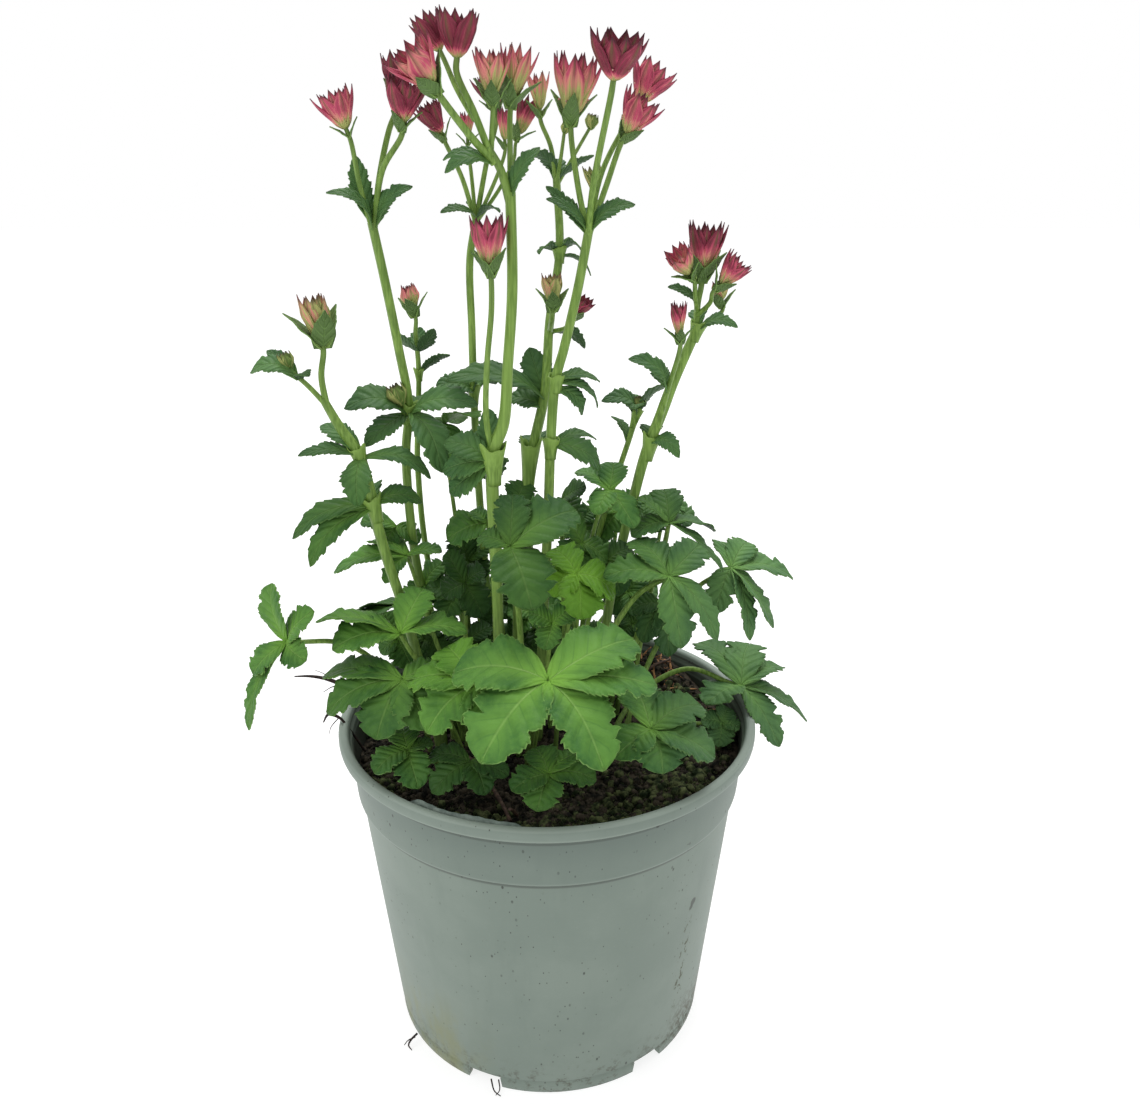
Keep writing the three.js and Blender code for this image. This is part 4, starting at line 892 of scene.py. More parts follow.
footHairs = [
    ([(-56, -40, 5), (-58.5, -42, 3.6), (-59.5, -43, 1.6), (-58, -44.5, 0.5)], (0.6, 0.5, 0.2)),
    ([(-57, -40, 3), (-60, -41, 2.2), (-61.5, -42, 0.8)], (0.35, 0.2)),
    ([(-24, -62, 3), (-22.5, -66.5, 1.6), (-20, -68, 0.5)], (0.35, 0.2)),
    ([(-21, -62, 2.6), (-20.5, -66, 1.4), (-22, -67.5, 0.4)], (0.3, 0.15)),
]

# Places of the plant's pieces, as in the part's source.
# A bloom: base, top, mouth radius, tone, share of pale green, and belly radius where it is closed
bloomFields = ("base", "top", "mouth", "tone", "pale", "belly")
blooms = {
    "f1": ((-66, -2, 358), (-70, -3, 370), 6.5, 0.0, 0.2), "f2": ((-50, 8, 369), (-50, 10, 382), 5, 1.0, 0.03),
    "f3": ((-47, -2, 360), (-45, -5, 374), 7.5, 0.75, 0.14), "f4": ((-34, -25, 369), (-42, -30, 380), 8, -0.3, 0.2),
    "f5": ((-27, -16, 378), (-26, -16, 392), 7.5, 0.95, 0.03),
    "f6": ((-33, -7, 381), (-38, -5, 391.5), 5.5, 0.95, 0.03),
    "f7": ((-16, -15, 367), (-16, -17, 381), 6, -0.45, 0.48), "f8": ((-10, -6, 367), (-7, -4, 383), 5.5, -0.25, 0.45),
    "f9": ((-18, 42, 368), (-20, 42, 379), 6.5, 0.9, 0.03), "f10": ((-37, 26, 358), (-42, 24, 368.5), 5.5, 0.8, 0.03),
    "f11": ((-28, 36, 357), (-28, 36, 366), 2.8, -0.2, 0.4), "f12": ((-14, 30, 356), (-14, 30, 367), 3, 0.3, 0.45),
    "f13": ((-9, 46, 359), (-4, 48, 372), 4.5, 0.8, 0.32), "f14": ((-1, 40, 367), (-2, 40, 380), 4, -0.7, 0.45),
    "f15": ((10, 4, 362), (12, 2, 382), 9, 0.1, 0.46), "f16": ((23, -12, 372), (25, -16, 386), 10.5, 0.95, 0.03),
    "f17": ((34, 18, 368), (41, 20, 380), 8, 0.1, 0.13), "f18": ((29, 6, 357), (36, 4, 369), 7.5, 0, 0.2),
    "f19": ((19, 20, 338), (18, 20, 347), 4, -2.0, 0.1), "f20": ((-18, -20, 314), (-19, -20, 331), 6.5, 0.35, 0.3),
    "f21": ((-51, 32, 295), (-53, 32, 304.5), 2, -0.5, 0.5, 3.6),
    "f22": ((-79, -8, 289), (-81, -8, 305), 5, -0.7, 0.9, 5.2), "f23": ((12, 16, 295), (16, 14, 301), 4, 0.6, 0.03),
    "f24": ((3, 13, 299), (3, 13, 310), 4.5, -1.3, 0.9), "f25": ((59, 16, 309), (60, 16, 328), 7.5, 0.85, 0.34),
    "f26": ((53, 8, 310), (47, 4, 318.5), 5.5, -0.3, 0.42), "f27": ((65, 11, 306), (73, 10, 315), 5.5, 0.2, 0.3),
    "f28": ((68, 24, 299), (67, 24, 306.5), 4, -0.6, 0.55), "f29": ((50, 6, 288), (49, 6, 300.5), 3.2, 0.5, 0.4),
}

# A stem: its foot, its radii from foot to top, where set a shift of its tone, and points on its main line.
# arms: points, thickness and the bloom it carries; leaves: from, to, half width, lift and facing;
# green sepals: bloom, count, reach, half width and turn; buds: place, direction and length
stems = {
    "stem_a": {
        "foot": (-20, -12), "r": (2.8, 2.4, 2.9, 2.2, 2.1), "tone": 0.5,
        "main": [
            (-19, -12, 178), (-19, -13, 207), (-19, -14, 249), (-15, -14, 260), (-13, -14, 281), (-11, -13, 306),
            (-11, -12, 338),
        ],
        "arms": [
            ([(-19, -14, 247), (-21, -16, 262), (-20, -20, 282), (-18, -20, 300)], 1.3, "f20"),
            ([(-11, -12, 334), (-14, -14, 345), (-18, -16, 352)], 1.8),
            ([(-16, -15, 347), (-24, -20, 356)], 1.5, "f4"), ([(-17, -16, 349), (-22, -16, 362)], 1.4, "f5"),
            ([(-22, -15, 360), (-28, -10, 370)], 1.1, "f6"), ([(-17, -15, 349), (-16.5, -14, 357)], 1.1, "f7"),
            ([(-11, -12, 335), (-11, -9, 350)], 1.2, "f8"),
        ],
        "leaves": [
            ((-11, -12, 336), (-1, -12, 352), 3.2, 4), ((-17, -16, 347), (-32, -20, 344), 3.2, 4),
            ((-18, -16, 348), (-33, -14, 348), 1.8, 3), ((-20, -15, 247), (-37, -9, 252), 4.8, 2, (0, -0.7, 0.7)),
            ((-20, -14, 246), (-38, -9, 241), 5.2, 2, (0, -0.7, 0.7)),
            ((-20, -14, 245), (-36, -8, 232), 5, 2, (0, -0.7, 0.7)),
            ((-19, -12, 246), (-21, -7, 264), 4, 1, (0, -1, 0.2)), ((-19, -14, 246), (-20, 2, 233), 5, 3),
        ],
        "green": [
            ("f4", 3, 11, 3.4, 20), ("f7", 3, 9, 3, 30), ("f8", 3, 11, 3.4, 0), ("f20", 4, 10, 2.6, 45),
            ("f12", 2, 5, 1.5, 30),
        ],
    },
    "stem_b": {
        "foot": (-22, 22), "r": (1.9, 1.6),
        "main": [(-27, 24, 220), (-28, 25, 261), (-28, 26, 288), (-28, 28, 314), (-25, 30, 330)],
        "arms": [
            ([(-25.5, 29.6, 327), (-30, 28, 343)], 1.1, "f10"), ([(-25.5, 30, 327), (-27, 34, 345)], 0.9, "f11"),
            ([(-25.5, 30, 327), (-21, 36, 349)], 1.2, "f9"),
            ([(-25.5, 30, 327), (-16, 36, 340), (-11, 42, 350)], 0.9, "f13"),
            ([(-25.5, 30, 327), (-17, 31, 344)], 0.9, "f12"),
        ],
        "leaves": [
            ((-25, 29, 329), (-38, 22, 331), 2.8, 3), ((-25, 29, 329), (-16, 25, 331), 2.8, 3),
            ((-25, 31, 328), (-28, 44, 332), 3, 3), ((-28, 25, 264), (-42, 17, 268), 4.6, 3),
            ((-28, 25, 264), (-15, 18, 275), 4, 4), ((-28, 26, 263), (-38, 38, 266), 4.6, 4),
            ((-28, 26, 263), (-20, 42, 264), 4.6, 4),
        ],
        "green": [("f10", 3, 7, 2, 0), ("f9", 3, 7, 2.2, 40), ("f13", 3, 7, 2, 10), ("f11", 2, 5, 1.4, 0)],
    },
    "stem_c": {
        "foot": (-40, 10), "r": (2.2, 1.9),
        "main": [
            (-52, 14, 190), (-54, 12, 219), (-54, 12, 244), (-52, 12, 261), (-54, 8, 283), (-57, 4, 308),
            (-60, 2, 328),
        ],
        "arms": [
            ([(-59.6, 2, 324), (-63, 0, 340)], 1.1, "f1"),
            ([(-59.6, 2, 324), (-57, 4, 342), (-53, 7, 358)], 1.3, "f2"),
            ([(-59.6, 2, 325), (-55, 0, 345)], 1.3, "f3"),
        ],
        "leaves": [
            ((-60, 2, 325), (-74, -4, 338), 3.2, 6), ((-59, 2, 326), (-45, 0, 340), 3, 4),
            ((-60, 2, 328), (-65, 6, 350), 3.2, 1, (0.2, -1, 0.3)), ((-60, 3, 326), (-58, 16, 338), 3, 2),
            ((-53, 11, 259), (-75, 3, 262), 6.4, 6), ((-53, 11, 258), (-67, -3, 249), 4.6, 3),
            ((-52, 13, 259), (-40, 32, 260), 5, 4), ((-53, 13, 259), (-62, 34, 258), 5, 4),
            ((-51, 9, 259), (-39, -4, 239), 5.4, 7), ((-51, 10, 259), (-25, 3, 263), 5.2, 6),
        ],
        "green": [("f1", 2, 6, 1.8, 0), ("f2", 2, 8, 2.4, 60), ("f3", 3, 8, 2.6, 0)],
        "buds": [((-54, 8, 262), (-0.4, 0, 1), 9)],
    },
    "stem_d": {
        "foot": (-4, 2), "r": (2.3, 2.2, 1.9),
        "main": [(1, 2, 224), (2, 0, 250), (4, 0, 273), (7, 0, 284), (12, 0, 305), (16, 0, 326)],
        "arms": [
            ([(15.6, 0, 323), (12, 2, 340)], 1.3, "f15"), ([(15.6, 0, 323), (17, -6, 340)], 1.4, "f16"),
            ([(15.6, 0, 323), (22, 4, 340)], 1.3, "f18"), ([(15.6, 0, 323), (21, 10, 345)], 1.2, "f17"),
            ([(15.6, 0, 324), (19, 10, 329)], 0.9, "f19"),
        ],
        "leaves": [
            ((15.5, 0, 324), (1, 2, 340), 2.4, 1), ((15.5, 0, 325), (1, -4, 336), 2.2, 3),
            ((16, 0, 325), (32, 0, 334), 3, 4), ((16, 1, 325), (12, 14, 332), 2.6, 2),
            ((4, 0, 273), (21, 12, 270), 2.8, 3), ((4, 0, 272), (20, 7, 261), 2.6, 5),
            ((3.5, 0, 270), (14, 3, 259), 3, 4), ((2, 0, 249), (21, 6, 237), 4.6, 5),
            ((2, 1, 248), (20, 14, 247), 2.6, 4),
        ],
        "green": [("f15", 3, 12, 3.6, 30), ("f18", 2, 8, 2.4, 130)],
    },
    "stem_e": {
        "foot": (2, 20), "r": (2, 2.2, 2.4, 2, 1.7),
        "main": [(-8, 14, 214), (-6, 15, 238), (0, 20, 265), (2, 26, 291), (6, 31, 317), (5, 36, 343)],
        "arms": [
            ([(5, 35.6, 340), (3, 38, 354)], 1.1, "f14"), ([(5, 35.6, 340), (13, 41, 353), (18, 44, 361)], 0.9),
            ([(5, 35.6, 340), (7, 34, 352), (8, 33, 359)], 0.9), ([(2, 26, 287), (8, 21, 289)], 1, "f23"),
            ([(2, 26, 287), (2.5, 19, 290)], 1.4, "f24"),
        ],
        "leaves": [
            ((5, 36, 342), (-5, 34, 352), 3.2, 4), ((5, 36, 342), (19, 34, 351), 2, 1),
            ((5, 36, 341), (4, 50, 350), 3, 3), ((6, 31, 316), (-2, 26, 316), 3.2, 3),
            ((6, 31, 316), (15, 28, 316), 3.2, 4), ((6, 31, 315), (18, 26, 308), 1.8, 3),
            ((6, 32, 316), (8, 42, 318), 3, 3), ((0, 20, 262), (-6, 26, 281), 5, 1, (0, -1, 0.3)),
            ((0, 20, 262), (-37, 5, 272), 6, 7, (0, -0.5, 0.9)), ((-1, 19, 259), (-15, 20, 262), 5, 3),
            ((2, 25, 286), (16, 30, 280), 3.4, 4), ((-6, 16, 240), (-2, 36, 243), 5, 4),
        ],
        "green": [("f24", 3, 9, 3.4, 30), ("f23", 2, 8, 2.2, 100), ("f14", 2, 7, 2, 30)],
        "buds": [((18, 44, 360), (0.2, 0, 1), 6), ((8, 33, 358), (0.2, 0, 1), 4.5)],
    },
    "stem_f": {
        "foot": (20, 12), "r": (2.3, 2.3, 2.6, 2),
        "main": [
            (27, 13, 185), (35, 15, 222), (40, 16, 242), (45, 17, 255), (50, 18, 269), (56, 19, 283), (59, 19, 290),
        ],
        "arms": [
            ([(58, 18.7, 287), (58, 18, 298)], 1.5, "f25"), ([(58, 18, 295), (56, 12, 302)], 1.1, "f26"),
            ([(58, 18, 294), (62, 14, 299)], 1.1, "f27"), ([(58.5, 18.8, 287), (64, 22, 292)], 1.1, "f28"),
            ([(44, 16, 250), (47, 10, 268)], 1.2, "f29"),
        ],
        "leaves": [
            ((59, 19, 288), (73, 14, 290), 3.2, 5), ((58, 18, 298), (46, 14, 305), 2.2, 2),
            ((59, 19, 289), (62, 34, 294), 3, 3), ((46.5, 11, 266), (31, 4, 280), 3.8, 5),
            ((47, 10, 268), (42, 22, 276), 2.8, 1), ((41, 16, 245), (52, 8, 241), 3.2, 5),
            ((41, 17, 245), (46, 32, 246), 3.4, 4),
        ],
        "green": [
            ("f25", 4, 13, 4, 45), ("f26", 3, 8, 2.6, 200), ("f27", 3, 8, 2.4, 300), ("f28", 3, 7, 2.2, 0),
            ("f29", 4, 7, 2.3, 0),
        ],
    },
    "stem_g": {
        "foot": (12, 26), "r": (1.4, 1.3),
        "main": [(18, 25, 185), (24, 24, 213), (30, 26, 232), (34, 26, 245), (37, 26, 256)],
        "leaves": [
            ((36.5, 26, 254), (22, 20, 261), 4, 6), ((36.5, 26, 255), (50, 25, 267), 4, 2),
            ((36, 26, 254), (34, 14, 259), 3.2, 3), ((36, 26, 254), (34, 40, 260), 3.2, 3),
            ((33, 26, 243), (27, 34, 252), 2.8, 2),
        ],
        "buds": [((37, 26, 255.5), (0.1, 0, 1), 6.5)],
    },
    "stem_h": {
        "foot": (-44, -8), "r": (2.3, 2.3, 2.6, 1.7),
        "main": [
            (-56, -8, 187), (-60, -8, 203), (-64, -8, 222), (-66, -8, 236), (-69, -8, 248), (-75, -8, 258),
            (-80, -8, 268),
        ],
        "arms": [
            ([(-79, -8, 265.5), (-80, -8, 276)], 1.4, "f22"),
            ([(-79, -8, 265.5), (-85, -9, 273), (-91, -10, 279)], 1.2),
        ],
        "leaves": [
            ((-88, -10, 275.5), (-104, -12, 278), 4, 6), ((-88, -10, 276), (-99, -6, 285), 2.6, 1),
            ((-87, -9, 275), (-82, -18, 278), 2.4, 2), ((-65, -8, 228), (-95, -12, 216), 4.4, 6),
            ((-65, -9, 227), (-88, -18, 207), 4.2, 6), ((-65, -7, 228), (-47, -3, 227), 3.8, 5),
            ((-65, -8, 227), (-70, 14, 226), 4.4, 5), ((-68, -8, 247), (-90, -12, 248), 3.2, 3),
            ((-68, -8, 248), (-84, 2, 256), 3.8, 3), ((-68, -9, 246), (-68, -21, 231), 4.6, 4),
            ((-67, -8, 246), (-43, -5, 237), 3.6, 6),
        ],
        "green": [("f22", 3, 15, 5.2, 60)],
        "buds": [((-90.5, -10, 278.5), (-0.3, 0, 1), 7)],
    },
    "stem_i": {
        "foot": (-34, 28), "r": (1.5, 1.4, 1.1),
        "main": [(-49, 26, 188), (-52, 28, 234), (-51, 29, 252), (-50, 31, 272), (-50.5, 32, 284)],
        "arms": [([(-50.4, 31.8, 281), (-50.6, 32, 286)], 1.1, "f21")],
        "leaves": [
            ((-50, 31, 270), (-37, 28, 278), 2, 2), ((-50, 31.5, 279), (-58, 29, 287), 3, -0.8),
            ((-50, 31.5, 279), (-43, 29, 288), 3, -0.8), ((-50, 32, 279), (-50, 42, 287), 3, -0.8),
        ],
        "green": [("f21", 3, 9, 3.2, 20)],
    },
}

# A leaf: foot of its stalk, points on the way, hub, facing, stalk radius, tone,
# and its lobes as the tip's offset from the hub and a half width
leaves = {
    "leaf_01": [
        ((-8, -22), [(-5, -38, 152), (-1, -56, 174)], (0, -62, 181), (0, -0.26, 0.97), 1.5, 0.0, [(31, 18, 7, 9),
         (38, 3, -4, 8.5), (18, -28, -18, 8.5), (-22, -24, -17, 10.5), (-33, 9, -1, 9.5)]),
    ],
    "leaf_02": [
        ((-24, -24), [(-24, -36, 152), (-24, -47, 168)], (-24, -50, 174), (-0.13, -0.22, 0.97), 1.2, 0.25,
         [(-13, 19, 6, 6.5), (-26, 9, -3, 7.5), (-18, -13, -12, 7.5), (6, -20, -16, 6)]),
    ],
    "leaf_03": [
        ((-33, -20), [(-40, -28, 150), (-50, -35, 164)], (-53, -38, 170), (-0.17, -0.3, 0.94), 1.3, -0.45,
         [(-32, 14, -5, 5.5), (-28, -4, -11, 6.5), (-8, -17, -15, 8.5), (12, -17, -11, 6.5), (15, 6, 1, 6)]),
    ],
    "leaf_04": [
        ((-34, 1), [(-44, -14, 155), (-52, -22, 174)], (-55, -24, 182), (0, 0, 1), 1.3, 0.25, [(-32, 3, 4, 6),
         (-24, -9, -2, 7.5), (8, 13, 13, 6), (25, 0, 0, 7)]),
        ((-34, 1), [(-33, 0, 160)], (-32, -1, 193), (0, -0.4, 0.9), 1.2, -0.95, [(-7, 1, 13, 4.5), (-9, -3, -4, 5),
         (7, -3, -13, 5.5), (8, 1, 5, 5)]),
    ],
    "leaf_05": [
        ((-50, 0), [(-58, -8, 150), (-76, -20, 176)], (-96, -30, 182), (-0.55, -0.6, 0.55), 1.2, 0.0,
         [(-5, 6, 21, 5.5), (12, -4, 14, 4.5), (-12, -6, -10, 5), (-14, -12, -30, 3.2), (9, -10, -3, 4.5)]),
    ],
    "leaf_06": [
        ((28, 3), [(40, 14, 136), (60, 16, 146), (76, 7, 144)], (81, 5, 143), (0, 0, 1), 1.4, -0.4, [(-15, 24, 9, 7),
         (8, 25, 8, 6.5), (20, 14, 2, 5), (30, 2, -18, 5.2), (14, -17, -19, 5.5), (-16, -10, -3, 8)]),
    ],
    "leaf_07": [
        ((18, -22), [(27, -36, 142), (35, -48, 152)], (37, -52, 156), (0.03, -0.17, 0.98), 1.2, -0.3,
         [(3, -15, -9, 7.5), (23, -5, -9, 8), (20, 12, 3, 6.5), (-14, -11, -5, 6.5), (-4, 22, 6, 7)]),
    ],
    "leaf_08": [
        ((2, -35), [(1, -48, 134), (0, -57, 139)], (0, -60, 143), (0, -0.09, 1), 1, -0.45, [(-4, -14, -6, 5.5),
         (17, -3, -1, 5.2), (-13, -7, -2, 5.2), (-5, 13, 3, 4.5), (10, 10, 2, 4.5)]),
    ],
    "leaf_09": [
        ((-22, -38), [(-26, -48, 136), (-28, -54, 142)], (-28, -56, 146), (0, -0.1, 1), 1, -0.85, [(-16, 5, -1, 4.3),
         (-13, -9, -7, 4.8), (6, -12, -6, 4.3), (14, -6, -2, 3.9)]),
        ((-22, -38), [(-36, -42, 136), (-48, -48, 143)], (-51, -49, 147), (-0.1, -0.1, 1), 1, -0.55,
         [(-11, -9, -4, 5), (5, -13, -8, 5), (9, 3, 1, 3.6), (-3, 12, 3, 4.5)]),
    ],
    "leaf_10": [
        ((8, -8), [(14, -11, 150), (34, -14, 192)], (46, -18, 202), (0.21, -0.37, 0.91), 1.3, -0.3, [(-25, -3, 1, 6),
         (-13, 15, 9, 6), (13, 10, 9, 5.5), (18, -10, -22, 4), (4, -13, -24, 5.5)]),
    ],
    "leaf_11": [
        ((30, 20), [(40, 16, 170), (47, 6, 206)], (48, 3, 216), (0, 0, 1), 1.3, -0.45, [(-1, 13, 10, 5),
         (19, 5, -5, 6), (21, -9, -17, 3.8), (-15, -4, -4, 5), (-12, 5, 9, 5)]),
    ],
    "leaf_12": [
        ((30, -10), [(42, -2, 160), (60, 0, 190)], (73, 0, 198), (0.17, 0, 0.98), 1.3, -0.15, [(-2, 15, 6, 5),
         (9, 14, 6, 4.6), (26, 4, -6, 6), (16, -11, -21, 5), (6, -16, -24, 4), (-7, -10, -15, 4.6)]),
    ],
    "leaf_13": [
        ((-12, -9), [(-10, -18, 170), (-12, -30, 212)], (-13, -34, 220), (0.12, -0.32, 0.94), 1.3, -0.65,
         [(24, 10, 10, 8), (8, -20, -16, 8.5), (1, 14, 15, 5), (-11, 6, 2, 4.5)]),
    ],
    "leaf_14": [
        ((3, -13), [(6, -15, 165), (10, -19, 196)], (11, -20, 204), (0.25, -0.43, 0.87), 1.2, 0.5, [(-9, 8, 7, 6),
         (15, 1, -9, 7.5), (1, -13, -13, 7), (-11, -7, -5, 6)]),
    ],
    "leaf_15": [
        ((9, 12), [(12, 12, 170), (20, 9, 215)], (25, 8, 228), (0.1, -0.15, 0.98), 1.1, -0.1, [(-13, 7, 6, 5),
         (2, 9, 9, 4.5), (9, -11, -12, 5), (-6, -12, -6, 4)]),
        ((9, 12), [(12, 8, 165)], (14, 3, 208), (0.1, -0.4, 0.9), 1.1, -0.5, [(-8, 3, 12, 5), (10, -1, -8, 5.5),
         (-3, -7, -12, 5.5), (-9, -6, -5, 4.5)]),
    ],
    "leaf_16": [
        ((-30, 6), [(-44, 0, 165), (-53, 2, 198)], (-55, 4, 203), (-0.09, 0, 1), 1, -0.2, [(-30, 3, -8, 5.2),
         (-8, -9, -8, 3.4), (14, -1, 2, 4), (-16, 12, 2, 4.5)]),
        ((-30, 6), [(-33, 7, 160)], (-36, 8, 186), (0, -0.4, 0.9), 1.15, -0.6, [(-13, 0, 1, 5), (-6, -8, -13, 4.8),
         (11, 4, 4, 5)]),
    ],
    "leaf_17": [
        ((-30, 19), [(-36, 23, 200), (-40, 23, 244)], (-40, 22, 252), (0, 0, 1), 1.1, 0.3, [(0, -15, -16, 6),
         (14, -12, 5, 5), (4, 18, -4, 5)]),
    ],
    "leaf_18": [
        ((-14, 34), [(-16, 46, 150), (-19, 57, 170)], (-20, 60, 175), (-0.1, 0.3, 0.95), 1.3, -0.95,
         [(-28, 2, -6, 6.2), (-22, 22, -12, 6.9), (2, 29, -16, 7.3), (24, 18, -10, 7.1), (26, -4, -3, 6.4)]),
    ],
    "leaf_19": [
        ((10, 40), [(16, 48, 140), (24, 56, 150)], (28, 60, 154), (0.2, 0.3, 0.93), 1.2, 0.15, [(-16, 12, -2, 5.4),
         (0, 28, -10, 6.8), (22, 16, -8, 6.3), (22, -6, -3, 5.8)]),
    ],
    "leaf_20": [
        ((-46, 24), [(-53, 33, 145), (-58, 39, 160)], (-60, 41, 166), (-0.3, 0.2, 0.93), 1.3, -0.85,
         [(-24, -12, -6, 7), (-28, 8, -10, 7.5), (-14, 26, -12, 7.5), (10, 24, -6, 7)]),
    ],
}

